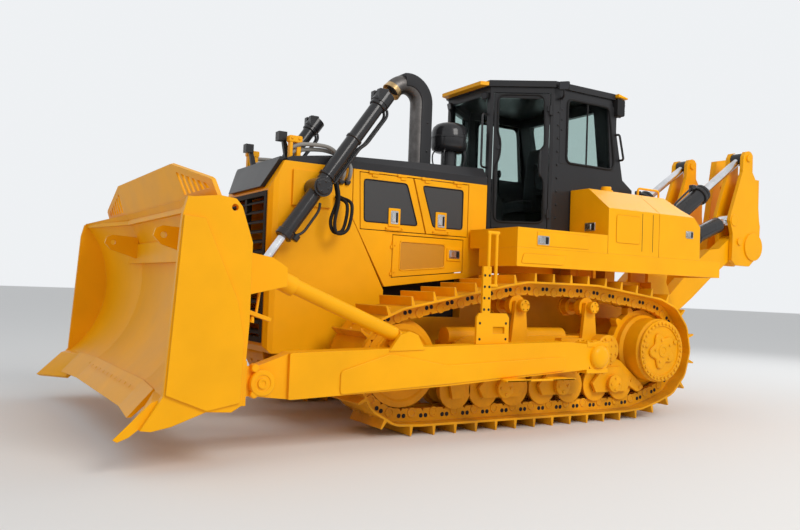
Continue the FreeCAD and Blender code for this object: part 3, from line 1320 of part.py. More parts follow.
def spillGuard():
    # Flat plate that leans forwards over the blade; solid in the middle, slotted over the wings
    height = float(s.guardHeight)
    bend = float(s.bladeBend) + 20
    outer = float(s.bladeHalf) - 150
    low = -60.0
    wingTop = height * 0.37
    corners = [
        (-outer - 60, low), (outer + 60, low), (outer + 30, wingTop - 20), (outer - 15, wingTop), (bend, height),
        (-bend, height), (-outer + 15, wingTop), (-outer - 30, wingTop - 20),
    ]
    plate = Part.Face(Part.makePolygon([V(0, y, z) for y, z in corners + corners[:1]]))
    plate = plate.extrude(V(float(s.guardPlate), 0, 0))
    slots = []
    count = 6
    first = bend + 75
    step = (outer - 60 - first) / count
    for side in (-1, 1):
        for k in range(count):
            a = first + k * step
            b = a + step * 0.55
            lean = 45
            roofA = height - (a - bend) / (outer - bend) * (height - wingTop) - 55
            roofB = height - (b - bend) / (outer - bend) * (height - wingTop) - 55
            hole = [(a + lean, 45), (b + lean, 45), (b, roofB), (a, roofA)]
            if roofB < 70:
                continue
            wire = Part.makePolygon([V(-10, side * y, z) for y, z in hole + hole[:1]])
            slots.append(Part.Face(wire).extrude(V(float(s.guardPlate) + 20, 0, 0)))
    plate = plate.cut(slots)
    plate.rotate(V(0, 0, 0), V(0, 1, 0), float(s.guardLean))
    plate.translate(V(float(s.bladeTopPlace) - float(s.moldThickness) + 5, 0, float(s.bladeTopHeight)))
    return plate


hooks = []
hookPlace = s.bladeDeepPlace + 290
hookHeight = s.bladeDeepHeight + 427
for y in (-934, 934):
    eyePlate = prism("XZ", [
        (s.bladeDeepPlace + 10, hookHeight - 150), (s.bladeDeepPlace + 60, hookHeight - 150),
        (hookPlace + 20, hookHeight - 72), (hookPlace + 78, hookHeight - 10), (hookPlace + 60, hookHeight + 50),
        (hookPlace + 10, hookHeight + 72), (s.bladeDeepPlace + 60, hookHeight + 60),
    ], y - 20, y + 20)
    hooks.append(cut(eyePlate, [shaft("Y", y - 30, y + 30, hookPlace, hookHeight, 26)]))
bladeRest = [shaped(moldboard()), shaped(spillGuard()), topPlate] + backBeams + hooks
bladeRest += [shaped(shape) for shape in ribs]
bladeRest += both(sidePlate) + both(wear) + [part for lug in lugs for part in both(lug)]
carryHole = shaft("Y", s.bladeHalf - 20, s.bladeHalf + s.endPlate + 30, s.bladeBack + 137, 1790, 24)
node("blade", cut(fuse(bladeRest), both(carryHole)))


# Push arms and braces

armFront = s.bladePinPlace - 250
armOutline = [
    (s.trunnionPlace + 120, s.trunnionHeight - 120), (1573, 559), (2920, 473), (armFront, s.bladePinHeight - 138),
    (s.bladePinPlace + 90, s.bladePinHeight - 100), (s.bladePinPlace + 90, s.bladePinHeight + 90),
    (armFront, s.bladePinHeight + 212), (2920, 809), (1573, 838), (s.trunnionPlace + 120, s.trunnionHeight + 120),
]
beam = prism("XZ", armOutline, s.armInner, s.armOuter)
narrow = [
    box(armFront + 20, s.bladePinPlace + 200, s.armInner - 10, pinGap + s.gap, 300, 900),
    box(armFront + 20, s.bladePinPlace + 200, s.armOuter - 30, s.armOuter + 10, 300, 900),
    shaft("Y", s.armInner - 10, s.armOuter + 10, s.bladePinPlace, s.bladePinHeight, s.bladePinRadius + s.gap),
]
socket = shaft(
    "Y", s.armInner, s.armOuter, s.trunnionPlace, s.trunnionHeight, s.trunnionRadius + 45)
trunnionRoom = shaft(
    "Y", s.armInner - 10, s.armInner + 45, s.trunnionPlace, s.trunnionHeight, s.trunnionRadius - 40 + s.gap)
footLug = [
    prism("XZ", [(3180, 780), (3520, 770), (3420, 900), (3330, 930), (3250, 900)],
          braceSide + side * 80 - 20, braceSide + side * 80 + 20)
    for side in (-1, 1)
]
armFall = 29 / 1347
railBase = 838 - (2240 - 1573) * armFall + g
railPlate = prism("XZ", [
    (2240, railBase), (2600, railBase - 360 * armFall), (2600, railBase + 225), (2570, railBase + 265),
    (2545, railBase + 265), (2545, 1500), (2455, 1500), (2455, railBase + 265), (2270, railBase + 265),
    (2240, railBase + 225),
], s.armInner + 88, s.armInner + 112)
railSide = s.armInner + 100
railLoop = [
    shaft("Z", 1480, 1800, 2483, railSide, 16), shaft("X", 2376, 2507, railSide, 1800, 17),
    shaft("Z", 1322, 1800, 2400, railSide, 16), shaft("X", 2383, 2470, railSide, 1332, 15),
]
armGrip = box(2290, 2420, s.armInner + 80, s.armInner + 120, railBase + 85, railBase + 145)
node("arm_rails", group(both(cut(fuse([railPlate] + railLoop), [armGrip]))))
node("push_arms", group(both(cut(fuse([beam, socket] + footLug), narrow + [trunnionRoom]))))

braceFootPlace = 3340
braceFootHeight = 868
tube = strut(braceFootPlace, braceFootHeight, braceTopPlace, braceTopHeight, braceSide, s.braceRadius, 90,
             1130)
eyes = [
    shaft("Y", braceSide - 60 + g, braceSide + 60 - g, braceFootPlace, braceFootHeight, 58),
    strut(braceFootPlace, braceFootHeight, braceTopPlace, braceTopHeight, braceSide, 42, 10),
    shaft("Y", braceSide - 62 + g, braceSide + 62 - g, braceTopPlace, braceTopHeight, 62),
]
node("blade_braces", group(both(fuse([tube] + eyes))))


# Blade lift cylinders

yoke2 = s.liftCentre - s.liftRadius - 45
yokePlate = box(
    s.liftYokePlace - 190, s.liftYokePlace + 190, s.hoodHalfWidth + g, s.hoodHalfWidth + 25,
    s.liftYokeHeight - 160, s.liftYokeHeight + 160)
yokePin = shaft(
    "Y", s.hoodHalfWidth + 20, s.liftCentre - s.liftRadius + 10, s.liftYokePlace, s.liftYokeHeight,
    s.liftPinRadius)
node("lift_yokes", group(both(fuse([yokePlate, yokePin]))))

liftRun = hypot(s.liftEyePlace - s.liftYokePlace, s.liftEyeHeight - s.liftYokeHeight)


def onLift(start, end, radius):
    return strut(
        s.liftYokePlace, s.liftYokeHeight, s.liftEyePlace, s.liftEyeHeight, s.liftCentre, radius, start, end)


collar = shaft(
    "Y", yoke2, s.liftCentre + s.liftRadius + 35, s.liftYokePlace, s.liftYokeHeight, s.liftPinRadius + 45)
collarBore = shaft(
    "Y", yoke2 - 10, s.liftCentre - s.liftRadius + 12, s.liftYokePlace, s.liftYokeHeight,
    s.liftPinRadius + s.gap)
rodBore = onLift(-s.liftBack + 120, s.liftAhead + 10, s.liftRodRadius + s.gap)
barrel = cut(
    fuse([onLift(-s.liftBack, s.liftAhead, s.liftRadius), collar,
          onLift(-s.liftBack - 60, -s.liftBack + 60, s.liftRadius + 22)]), [collarBore, rodBore])
node("lift_barrels", group(both(barrel)))
rod = fuse([
    onLift(-dim(330), liftRun - 50, s.liftRodRadius),
    shaft("Y", s.liftCentre - eyeHalf, s.liftCentre + eyeHalf, s.liftEyePlace, s.liftEyeHeight, 78),
])
node("lift_rods", group(both(rod)))


# Ripper

side = s.ripperCentre
mountOutline = [
    (s.hullRear - g, 900), (s.draftPinPlace, s.draftPinHeight - 110), (s.draftPinPlace - 100, s.draftPinHeight),
    (s.draftPinPlace - 40, s.draftPinHeight + 130), (s.draftPinPlace + 60, 1480),
    (s.ripLiftBasePlace - 110, s.ripLiftBaseHeight), (tiltBasePlace - 100, tiltBaseHeight),
    (tiltBasePlace, tiltBaseHeight + 100), (tiltBasePlace + 130, tiltBaseHeight + 60),
    (s.tankRear - 60, s.deckHeight + 60), (s.tankRear - 60, s.hullTop + 2), (s.hullRear - g, s.hullTop + 2),
]
mountPlates = []
cheek = s.ripBarrelRadius + s.clearance
for start in (side - cheek - 45, side + cheek):
    mountPlates.append(prism("XZ", mountOutline, start, start + 45))
mountPlates.append(shaft(
    "Y", side - cheek - 60, side + cheek + 60, s.draftPinPlace, s.draftPinHeight, s.ripPinRadius))
mountPlates.append(shaft(
    "Y", side - cheek - 60, side + cheek + 60, tiltBasePlace, tiltBaseHeight, s.ripPinRadius))
mountPlates.append(shaft(
    "Y", side - cheek - 60, side + cheek + 60, s.ripLiftBasePlace, s.ripLiftBaseHeight, s.ripPinRadius))
mountPlates.append(box(
    s.hullRear - 60, s.hullRear - g, side - cheek - 45, side + cheek + 45, 900, s.hullTop))
node("ripper_mount", group(both(fuse(mountPlates))))


armHalf = s.towerHalf - 10
draft = prism("XZ", [
    (s.draftPinPlace + 110, s.draftPinHeight - 60), (s.draftPinPlace + 90, s.draftPinHeight + 90),
    (s.draftPinPlace - 60, s.draftPinHeight + 160), (-1728, 1790), (-1930, 1925),
    (s.beamPinPlace + 320, s.beamPinHeight - 108), (s.beamPinPlace + 55, s.beamPinHeight + 78),
    (s.beamPinPlace - 90, s.beamPinHeight + 40),
    (s.beamPinPlace - 60, s.beamPinHeight - 110), (s.beamPinPlace + 120, s.beamPinHeight - 260), (-1950, 1550),
    (-1610, 1297), (s.draftPinPlace - 60, s.draftPinHeight - 130),
], side - armHalf, side + armHalf)
draftHoles = [
    shaft("Y", side - 200, side + 200, s.draftPinPlace, s.draftPinHeight, s.ripPinRadius + s.gap),
    shaft("Y", side - 200, side + 200, s.beamPinPlace, s.beamPinHeight, s.ripPinRadius + s.gap),
]
draftArm = cut(draft, draftHoles)
crossTie = box(-1760, -1560, -side, side, 1400, 1600)
node("ripper_arms", fuse(both(draftArm) + [crossTie]))

towerOutline = [
    (s.beamPlace - 174, s.beamHeight + 268), (s.beamPlace - 155, s.beamHeight + 345), (-2798, 2869), (-2698, 3006),
    (s.tiltPinPlace - 97, s.tiltPinHeight + 48), (s.tiltPinPlace - 60, s.tiltPinHeight + 88),
    (s.tiltPinPlace - 11, s.tiltPinHeight + 100), (s.tiltPinPlace + 60, s.tiltPinHeight + 84),
    (s.tiltPinPlace + 100, s.tiltPinHeight + 20), (s.tiltPinPlace + 112, 2990), (-2262, 2404),
    (-2248, 2330), (s.beamPinPlace + 130, s.beamPinHeight + 100), (s.beamPinPlace + 140, s.beamPinHeight - 250),
    (s.beamPinPlace + 60, s.beamPinHeight - 314), (s.beamPlace + 42, s.beamHeight - 273),
    (s.beamPlace - 100, s.beamHeight - 160), (s.beamPlace - 162, s.beamHeight - 30),
]
tower = []
for start in (side - s.towerHalf - s.towerPlate, side + s.towerHalf):
    tower.append(prism("XZ", towerOutline, start, start + s.towerPlate))
tower.append(box(
    s.beamPlace - 190, s.beamPlace - 120, side - s.towerHalf - 10, side + s.towerHalf + 10,
    s.beamHeight, s.tiltPinHeight - 260))
for x, z in ((s.beamPinPlace, s.beamPinHeight),):
    tower.append(shaft("Y", side - s.towerHalf - 70, side + s.towerHalf + 70, x, z, s.ripPinRadius))
for x, z in ((s.tiltPinPlace, s.tiltPinHeight),):
    tower.append(shaft("Y", side - s.towerHalf - 70, side + s.towerHalf + 70, x, z, s.ripPinRadius))
for part in (-1, 1):
    tower.append(shaft(
        "Y", side + part * s.towerHalf + min(part, 0) * 60, side + part * s.towerHalf + max(part, 0) * 60,
        s.ripLiftEyePlace, s.ripLiftEyeHeight, 75))
crossBeam = shaft(
    "Y", -side - s.towerHalf - s.towerPlate - 20, side + s.towerHalf + s.towerPlate + 20, s.beamPlace - 20,
    s.beamHeight - 10, s.beamRadius)
shankFront = s.beamPlace + s.shankAhead
shankLow = s.shankBottom + 120


def shankLine(place, height):
    # Place on a line that leans back with the shank
    return place - (height - s.beamHeight) * s.shankLean


def shankSection(room, low, top):
    return [
        (shankLine(shankFront - s.shankDepth - room, low), low), (shankLine(shankFront + room, low), low),
        (shankLine(shankFront + room, top), top), (shankLine(shankFront - s.shankDepth - room, top), top),
    ]


shankHole = prism(
    "XZ", shankSection(s.gap, s.beamHeight - 400, s.shankTop + 200), -s.shankWidth / 2 - s.gap,
    s.shankWidth / 2 + s.gap)
pocket = prism("XZ", shankSection(70, s.beamHeight - 130, s.beamHeight + 300), -130, 130)
towers = [part for piece in tower for part in both(piece)]
node("ripper_beam", cut(fuse([crossBeam, pocket] + towers), [shankHole]))
shank = prism("XZ", [
    (shankLine(shankFront - s.shankDepth, shankLow), shankLow),
    (shankLine(shankFront - s.shankDepth + 60, s.shankBottom), s.shankBottom),
    (shankLine(shankFront + 60, s.shankBottom - 40), s.shankBottom - 40),
    (shankLine(shankFront + 90, s.shankBottom + 10), s.shankBottom + 10),
    (shankLine(shankFront, shankLow), shankLow),
    (shankLine(shankFront, s.shankTop - 70), s.shankTop - 70),
    (shankLine(shankFront - s.shankDepth, s.shankTop), s.shankTop),
], -s.shankWidth / 2, s.shankWidth / 2)
shankHoles = [
    shaft("Y", -s.shankWidth, s.shankWidth, shankLine(shankFront - s.shankDepth / 2, z), z, 32)
    for z in (s.beamHeight + 560, s.beamHeight + 830)
]
node("ripper_shank", cut(shank, shankHoles))


def ripperLine(x0, z0, x1, z1, radius, start, end):
    return strut(x0, z0, x1, z1, side, radius, start, end)


eyeReach = s.towerHalf - s.clearance
tiltRun = hypot(s.tiltPinPlace - tiltBasePlace, s.tiltPinHeight - tiltBaseHeight)
tiltLine = (tiltBasePlace, tiltBaseHeight, s.tiltPinPlace, s.tiltPinHeight)
tiltBarrel = fuse([
    ripperLine(*tiltLine, s.ripBarrelRadius, 90, tiltRun * 0.445),
    shaft("Y", side - eyeReach, side + eyeReach, tiltBasePlace, tiltBaseHeight, 95),
    ripperLine(*tiltLine, 60, 10, 120),
    ripperLine(*tiltLine, s.ripRodRadius, tiltRun * 0.44, tiltRun - 40),
    shaft("Y", side - eyeReach, side + eyeReach, s.tiltPinPlace, s.tiltPinHeight, 85),
])
tiltBody = cut(tiltBarrel, [
    shaft("Y", side - 200, side + 200, tiltBasePlace, tiltBaseHeight, s.ripPinRadius + s.gap),
    shaft("Y", side - 200, side + 200, s.tiltPinPlace, s.tiltPinHeight, s.ripPinRadius + s.gap),
])
node("ripper_tilt_cylinders", group(both(tiltBody)))

ripRun = hypot(s.ripLiftEyePlace - s.ripLiftBasePlace, s.ripLiftEyeHeight - s.ripLiftBaseHeight)
ripLine = (s.ripLiftBasePlace, s.ripLiftBaseHeight, s.ripLiftEyePlace, s.ripLiftEyeHeight)
ripBarrel = cut(fuse([
    ripperLine(*ripLine, s.ripBarrelRadius, 100, ripRun - 190),
    shaft("Y", side - eyeReach, side + eyeReach, s.ripLiftBasePlace, s.ripLiftBaseHeight, 95),
    ripperLine(*ripLine, 60, 10, 120),
]), [
    shaft("Y", side - 200, side + 200, s.ripLiftBasePlace, s.ripLiftBaseHeight, s.ripPinRadius + s.gap),
    ripperLine(*ripLine, s.ripRodRadius + s.gap, 190, ripRun - 160),
])
node("ripper_lift_barrels", group(both(ripBarrel)))
ripRod = fuse([
    ripperLine(*ripLine, s.ripRodRadius, 260, ripRun - 30),
    shaft("Y", side - eyeReach, side + eyeReach, s.ripLiftEyePlace, s.ripLiftEyeHeight, 80),
])
node("ripper_lift_rods", group(both(ripRod)))


# Origin under the middle of the machine, then checks and files

doc.recompute()
low = min(piece.Shape.BoundBox.XMin for piece in nodes)
high = max(piece.Shape.BoundBox.XMax for piece in nodes)
shift = -(low + high) / 2
mirrored = [piece for piece in nodes if piece.TypeId == "Part::Mirroring"]
for piece in nodes:
    if piece in mirrored:
        continue
    if piece.TypeId in ("Part::Box", "Part::Cylinder", "PartDesign::Body"):
        text = dict(piece.ExpressionEngine).get("Placement.Base.x", None)
        text = text or dict(piece.ExpressionEngine).get(".Placement.Base.x", "0")
        piece.setExpression("Placement.Base.x", f"{text} + ({shift})")
    else:
        piece.Placement = FreeCAD.Placement(piece.Placement.Base + V(shift, 0, 0), piece.Placement.Rotation)
doc.recompute()

os.makedirs("parts", exist_ok=True)
for item in doc.Objects:
    if "Invalid" in item.State or "Error" in item.State:
        raise RuntimeError(f"{item.Label} did not build")
for piece in nodes:
    if piece.Shape.isNull() or not piece.Shape.isValid():
        raise RuntimeError(f"{piece.Label} has no valid shape")
for piece in nodes:
    piece.Shape.exportStep(f"parts/{piece.Label}.step")
print("sub-parts", len(nodes), "shift", round(shift, 3))
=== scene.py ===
import json
import math

import bmesh
import bpy
import numpy as np
from mathutils import Matrix, Vector

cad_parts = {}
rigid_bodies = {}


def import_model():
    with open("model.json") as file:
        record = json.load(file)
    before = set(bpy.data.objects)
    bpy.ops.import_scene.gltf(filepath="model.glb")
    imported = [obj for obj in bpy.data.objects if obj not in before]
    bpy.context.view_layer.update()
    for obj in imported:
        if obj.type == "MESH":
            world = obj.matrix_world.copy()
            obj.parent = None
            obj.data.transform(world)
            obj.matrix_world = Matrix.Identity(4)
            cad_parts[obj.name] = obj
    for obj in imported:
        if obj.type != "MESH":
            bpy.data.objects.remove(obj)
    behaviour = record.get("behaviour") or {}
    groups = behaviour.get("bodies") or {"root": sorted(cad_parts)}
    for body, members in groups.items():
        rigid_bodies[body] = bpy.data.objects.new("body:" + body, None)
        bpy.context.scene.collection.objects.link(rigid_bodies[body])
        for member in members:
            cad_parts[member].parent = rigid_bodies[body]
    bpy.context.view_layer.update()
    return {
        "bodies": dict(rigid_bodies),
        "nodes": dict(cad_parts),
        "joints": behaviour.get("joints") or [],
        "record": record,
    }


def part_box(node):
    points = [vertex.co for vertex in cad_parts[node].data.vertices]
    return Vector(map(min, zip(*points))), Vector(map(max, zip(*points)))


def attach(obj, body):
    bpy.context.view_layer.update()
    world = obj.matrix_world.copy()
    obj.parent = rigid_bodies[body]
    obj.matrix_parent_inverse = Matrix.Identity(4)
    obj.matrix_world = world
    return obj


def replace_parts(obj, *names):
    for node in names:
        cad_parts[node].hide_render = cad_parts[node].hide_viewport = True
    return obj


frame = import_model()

nodes = frame["nodes"]
scene = bpy.context.scene
print("stage: frame loaded,", len(nodes), "solids")

platformReach = 0.985  # rear edge of the platform behind the sprocket axle
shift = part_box("platform")[0].x + platformReach  # pieces are placed from the sprocket axle, which is x = 0


def addNode(tree, kind, **settings):
    node = tree.nodes.new(kind)
    for key, value in settings.items():
        setattr(node, key, value)
    return node


def mathNode(tree, operation, first, second, clamp=False):
    node = addNode(tree, "ShaderNodeMath", operation=operation, use_clamp=clamp)
    for slot, value in enumerate((first, second)):
        if isinstance(value, (int, float)):
            node.inputs[slot].default_value = value
        else:
            tree.links.new(value, node.inputs[slot])
    return node.outputs[0]


# Camera, floor and light

cameraView = {"lens": 35.42, "sensor": 36.0, "yaw": 31.3398, "pitch": 1.7333, "roll": 2.1229,
              "place": (6.761, 7.124, 1.274)}  # place counts from the sprocket axle
studio = {"light": ((0.95, 0.97, 1.0, 1), 0.66), "backdrop": ((0.86, 0.88, 0.90, 1), 1.0),
          "floor": (0.74, 0.74, 0.73, 1), "floorHalf": 90.0}
lamps = {
    "keyLight": {"place": (-0.5, 12.0, 9.5), "target": (0.0, 0.5, 1.2), "size": (6, 6), "power": 970,
                 "colour": (1.0, 0.97, 0.93)},
    "rearLight": {"place": (-10.0, -2.0, 7.0), "target": (-1.0, 0.0, 1.2), "size": (6, 6), "power": 280,
                  "colour": (0.97, 0.98, 1.0)},
    "frontLight": {"place": (12.0, 2.0, 6.0), "target": (0.0, 0.0, 1.2), "size": (8, 5), "power": 20,
                   "colour": (0.97, 0.98, 1.0)},
}


def makeCamera(view):
    yaw, pitch, roll = (math.radians(view[key]) for key in ("yaw", "pitch", "roll"))
    ahead = Vector((-math.sin(yaw) * math.cos(pitch), -math.cos(yaw) * math.cos(pitch), math.sin(pitch)))
    level = ahead.cross(Vector((0, 0, 1))).normalized()
    upright = level.cross(ahead)
    right = level * math.cos(roll) + upright * math.sin(roll)
    up = upright * math.cos(roll) - level * math.sin(roll)
    lens = bpy.data.cameras.new("camera")
    lens.lens = view["lens"]
    lens.sensor_width = view["sensor"]
    lens.clip_end = 300
    camera = bpy.data.objects.new("camera", lens)
    x, y, z = view["place"]
    turn = Matrix((right, up, -ahead)).transposed().to_4x4()
    camera.matrix_world = Matrix.Translation((x + shift, y, z)) @ turn
    scene.collection.objects.link(camera)
    scene.camera = camera


def makeStage(half, colour):
    floorMesh = bpy.data.meshes.new("floor")
    corners = [(-half, -half, 0), (half, -half, 0), (half, half, 0), (-half, half, 0)]
    floorMesh.from_pydata(corners, [], [(0, 1, 2, 3)])
    floor = bpy.data.objects.new("floor", floorMesh)
    scene.collection.objects.link(floor)
    material = bpy.data.materials.new("floorPaint")
    material.use_nodes = True
    shader = material.node_tree.nodes["Principled BSDF"]
    shader.inputs["Base Color"].default_value = colour
    shader.inputs["Roughness"].default_value = 0.9
    floorMesh.materials.append(material)


def makeWorld(light, backdrop):
    # The backdrop is what camera, glossy and transmission rays see; only the light falls on the machine
    world = bpy.data.worlds.new("studio")
    scene.world = world
    world.use_nodes = True
    tree = world.node_tree
    tree.nodes.clear()
    output = addNode(tree, "ShaderNodeOutputWorld")
    mix = addNode(tree, "ShaderNodeMixShader")
    path = addNode(tree, "ShaderNodeLightPath")
    seen = path.outputs["Is Camera Ray"]
    for ray in ("Is Glossy Ray", "Is Transmission Ray"):
        seen = mathNode(tree, "MAXIMUM", seen, path.outputs[ray])
    tree.links.new(seen, mix.inputs["Fac"])
    for slot, (colour, strength) in enumerate((light, backdrop), 1):
        background = addNode(tree, "ShaderNodeBackground")
        background.inputs["Color"].default_value = colour
        background.inputs["Strength"].default_value = strength
        tree.links.new(background.outputs[0], mix.inputs[slot])
    tree.links.new(mix.outputs[0], output.inputs["Surface"])


def areaLight(name, place, target, size, power, colour):
    lamp = bpy.data.lights.new(name, "AREA")
    lamp.shape = "RECTANGLE"
    lamp.size, lamp.size_y = size
    lamp.energy = power
    lamp.color = colour
    holder = bpy.data.objects.new(name, lamp)
    holder.location = place
    holder.rotation_euler = (Vector(target) - Vector(place)).to_track_quat("-Z", "Y").to_euler()
    scene.collection.objects.link(holder)


makeCamera(cameraView)
makeStage(studio["floorHalf"], studio["floor"])
makeWorld(studio["light"], studio["backdrop"])
for lampName, lampValues in lamps.items():
    areaLight(lampName, **lampValues)
scene.view_settings.view_transform = "Standard"
print("stage: camera, floor and light")


# Shared effects, each a node group with named inputs and outputs

def makeGroup(name, inputs, outputs):
    tree = bpy.data.node_groups.new(name, "ShaderNodeTree")
    for title, kind, value in inputs:
        tree.interface.new_socket(title, in_out="INPUT", socket_type=kind).default_value = value
    for title, kind in outputs:
        tree.interface.new_socket(title, in_out="OUTPUT", socket_type=kind)
    entry = tree.nodes.new("NodeGroupInput")
    leave = tree.nodes.new("NodeGroupOutput")
    return tree, entry, leave


def rangeNode(tree, value, low, high, lowOut=0.0, highOut=1.0):
    node = addNode(tree, "ShaderNodeMapRange", clamp=True)
    tree.links.new(value, node.inputs["Value"])
    for title, number in (("From Min", low), ("From Max", high), ("To Min", lowOut), ("To Max", highOut)):
        node.inputs[title].default_value = number
    return node.outputs["Result"]


def mixColour(tree, factor, first, second, blend="MIX"):
    node = addNode(tree, "ShaderNodeMix", data_type="RGBA", blend_type=blend)
    for title, value in (("Factor", factor), ("A", first), ("B", second)):
        socket = [s for s in node.inputs if s.name == title and (title == "Factor" or s.type == "RGBA")][0]
        if isinstance(value, (int, float, tuple)):
            socket.default_value = value
        else:
            tree.links.new(value, socket)
    return [s for s in node.outputs if s.type == "RGBA"][0]


def noiseNode(tree, vector, scale, detail=3.0, rough=0.55):
    node = addNode(tree, "ShaderNodeTexNoise")
    tree.links.new(vector, node.inputs["Vector"])
    if isinstance(scale, (int, float)):
        node.inputs["Scale"].default_value = scale
    else:
        tree.links.new(scale, node.inputs["Scale"])
    node.inputs["Detail"].default_value = detail
    node.inputs["Roughness"].default_value = rough
    return node.outputs["Fac"]


def makeEdgeGroup():
    # Rounded normal, and a mask that is 1 on edges and broken up by noise
    tree, entry, leave = makeGroup(
        "edgeWear", [("Radius", "NodeSocketFloat", 0.006), ("Break Up", "NodeSocketFloat", 9.0)],
        [("Mask", "NodeSocketFloat"), ("Normal", "NodeSocketVector")])
    bevel = addNode(tree, "ShaderNodeBevel", samples=4)
    tree.links.new(entry.outputs["Radius"], bevel.inputs["Radius"])
    shape = addNode(tree, "ShaderNodeNewGeometry")
    dot = addNode(tree, "ShaderNodeVectorMath", operation="DOT_PRODUCT")
    tree.links.new(bevel.outputs["Normal"], dot.inputs[0])
    tree.links.new(shape.outputs["Normal"], dot.inputs[1])
    edge = rangeNode(tree, dot.outputs["Value"], 0.995, 0.90)
    where = addNode(tree, "ShaderNodeTexCoord").outputs["Object"]
    broken = rangeNode(tree, noiseNode(tree, where, entry.outputs["Break Up"], 4.0, 0.65), 0.42, 0.62)
    tree.links.new(mathNode(tree, "MULTIPLY", edge, broken), leave.inputs["Mask"])
    tree.links.new(bevel.outputs["Normal"], leave.inputs["Normal"])
    return tree


def makeDustAndShadeGroup():
    # Dust on upward faces, and a darkening that thickens towards the ground; with the dark brown colour of paint()
    # the mask is dust and painted shade
    tree, entry, leave = makeGroup(
        "dust", [("Top Height", "NodeSocketFloat", 1.2), ("Lying", "NodeSocketFloat", 0.35),
                 ("Rising", "NodeSocketFloat", 0.5)],
        [("Mask", "NodeSocketFloat")])
    where = addNode(tree, "ShaderNodeTexCoord").outputs["Object"]
    parts = addNode(tree, "ShaderNodeSeparateXYZ")
    tree.links.new(where, parts.inputs[0])
    shape = addNode(tree, "ShaderNodeNewGeometry")
    facing = addNode(tree, "ShaderNodeSeparateXYZ")
    tree.links.new(shape.outputs["Normal"], facing.inputs[0])
    lying = mathNode(tree, "MULTIPLY", rangeNode(tree, facing.outputs["Z"], 0.35, 0.95), entry.outputs["Lying"])
    share = mathNode(tree, "DIVIDE", parts.outputs["Z"], entry.outputs["Top Height"])
    # Darker towards the ground: with the dark brown of paint() this is painted shade as well as dust
    rising = mathNode(tree, "MULTIPLY", rangeNode(tree, share, 1.0, 0.0), entry.outputs["Rising"])
    cloud = rangeNode(tree, noiseNode(tree, where, 3.1, 5.0, 0.62), 0.30, 0.72)
    fine = rangeNode(tree, noiseNode(tree, where, 38.0, 3.0, 0.6), 0.25, 0.75, 0.55, 1.0)
    total = mathNode(tree, "ADD", lying, rising)
    tree.links.new(
        mathNode(tree, "MULTIPLY", mathNode(tree, "MULTIPLY", total, cloud), fine, clamp=True), leave.inputs["Mask"])
    return tree


def makePeelGroup():
    # Height of sprayed paint: a soft ripple with a finer one on it, and slow waves of the sheet below
    tree, entry, leave = makeGroup(
        "sprayedPaint", [("Ripple", "NodeSocketFloat", 160.0), ("Sheet", "NodeSocketFloat", 2.2)],
        [("Height", "NodeSocketFloat"), ("Tint", "NodeSocketFloat")])
    where = addNode(tree, "ShaderNodeTexCoord").outputs["Object"]
    ripple = noiseNode(tree, where, entry.outputs["Ripple"], 2.0, 0.5)
    sheet = noiseNode(tree, where, entry.outputs["Sheet"], 3.0, 0.5)
    height = mathNode(tree, "ADD", mathNode(tree, "MULTIPLY", ripple, 0.12), mathNode(tree, "MULTIPLY", sheet, 0.88))
    tree.links.new(height, leave.inputs["Height"])
    tree.links.new(sheet, leave.inputs["Tint"])
    return tree


edgeGroup = makeEdgeGroup()
dustAndShadeGroup = makeDustAndShadeGroup()
peelGroup = makePeelGroup()


def groupNode(tree, group, **values):
    node = addNode(tree, "ShaderNodeGroup", node_tree=group)
    for title, value in values.items():
        node.inputs[title.replace("_", " ")].default_value = value
    return node


# Finishes

def newMaterial(name):
    material = bpy.data.materials.new(name)
    material.use_nodes = True
    tree = material.node_tree
    return material, tree, tree.nodes["Principled BSDF"]


# The dust colour is a dark brown, so the dust mask also paints shade on the low parts and the undercarriage
coating = {"dust": (0.17, 0.085, 0.028, 1), "dustRough": 0.5, "spread": (0.05, 0.07), "bump": 0.22,
           "bumpDepth": 0.004, "specular": 0.15, "coatRoughness": 0.12}


def paint(name, colour, edgeColour, roughness, coat, dustAndShadeHeight, lying, rising, tint=0.06, radius=0.006, wear=0.5):
    # Sprayed paint over steel, paler on worn edges, with dust on top and near the ground in a dark brown that also
    # paints shade low down
    material, tree, shader = newMaterial(name)
    edge = groupNode(tree, edgeGroup, Radius=radius)
    dust = groupNode(tree, dustAndShadeGroup, Top_Height=dustAndShadeHeight, Lying=lying, Rising=rising)
    peel = groupNode(tree, peelGroup)
    shade = rangeNode(tree, peel.outputs["Tint"], 0.3, 0.7, 1.0 - tint, 1.0 + tint)
    even = mixColour(tree, 1.0, colour, shade, "MULTIPLY")
    worn = mixColour(tree, mathNode(tree, "MULTIPLY", edge.outputs["Mask"], wear), even, edgeColour)
    # Dust and painted shade in dark brown over the paint
    full = mixColour(tree, dust.outputs["Mask"], worn, coating["dust"])
    tree.links.new(full, shader.inputs["Base Color"])
    below, above = coating["spread"]
    rough = mathNode(
        tree, "ADD", mathNode(tree, "MULTIPLY", dust.outputs["Mask"], coating["dustRough"]),
        rangeNode(tree, peel.outputs["Tint"], 0.2, 0.8, roughness - below, roughness + above), clamp=True)
    tree.links.new(rough, shader.inputs["Roughness"])
    bump = addNode(tree, "ShaderNodeBump")
    bump.inputs["Strength"].default_value = coating["bump"]
    bump.inputs["Distance"].default_value = coating["bumpDepth"]
    tree.links.new(peel.outputs["Height"], bump.inputs["Height"])
    tree.links.new(edge.outputs["Normal"], bump.inputs["Normal"])
    tree.links.new(bump.outputs["Normal"], shader.inputs["Normal"])
    shader.inputs["Specular IOR Level"].default_value = coating["specular"]
    shader.inputs["Coat Weight"].default_value = coat
    shader.inputs["Coat Roughness"].default_value = coating["coatRoughness"]
    return material


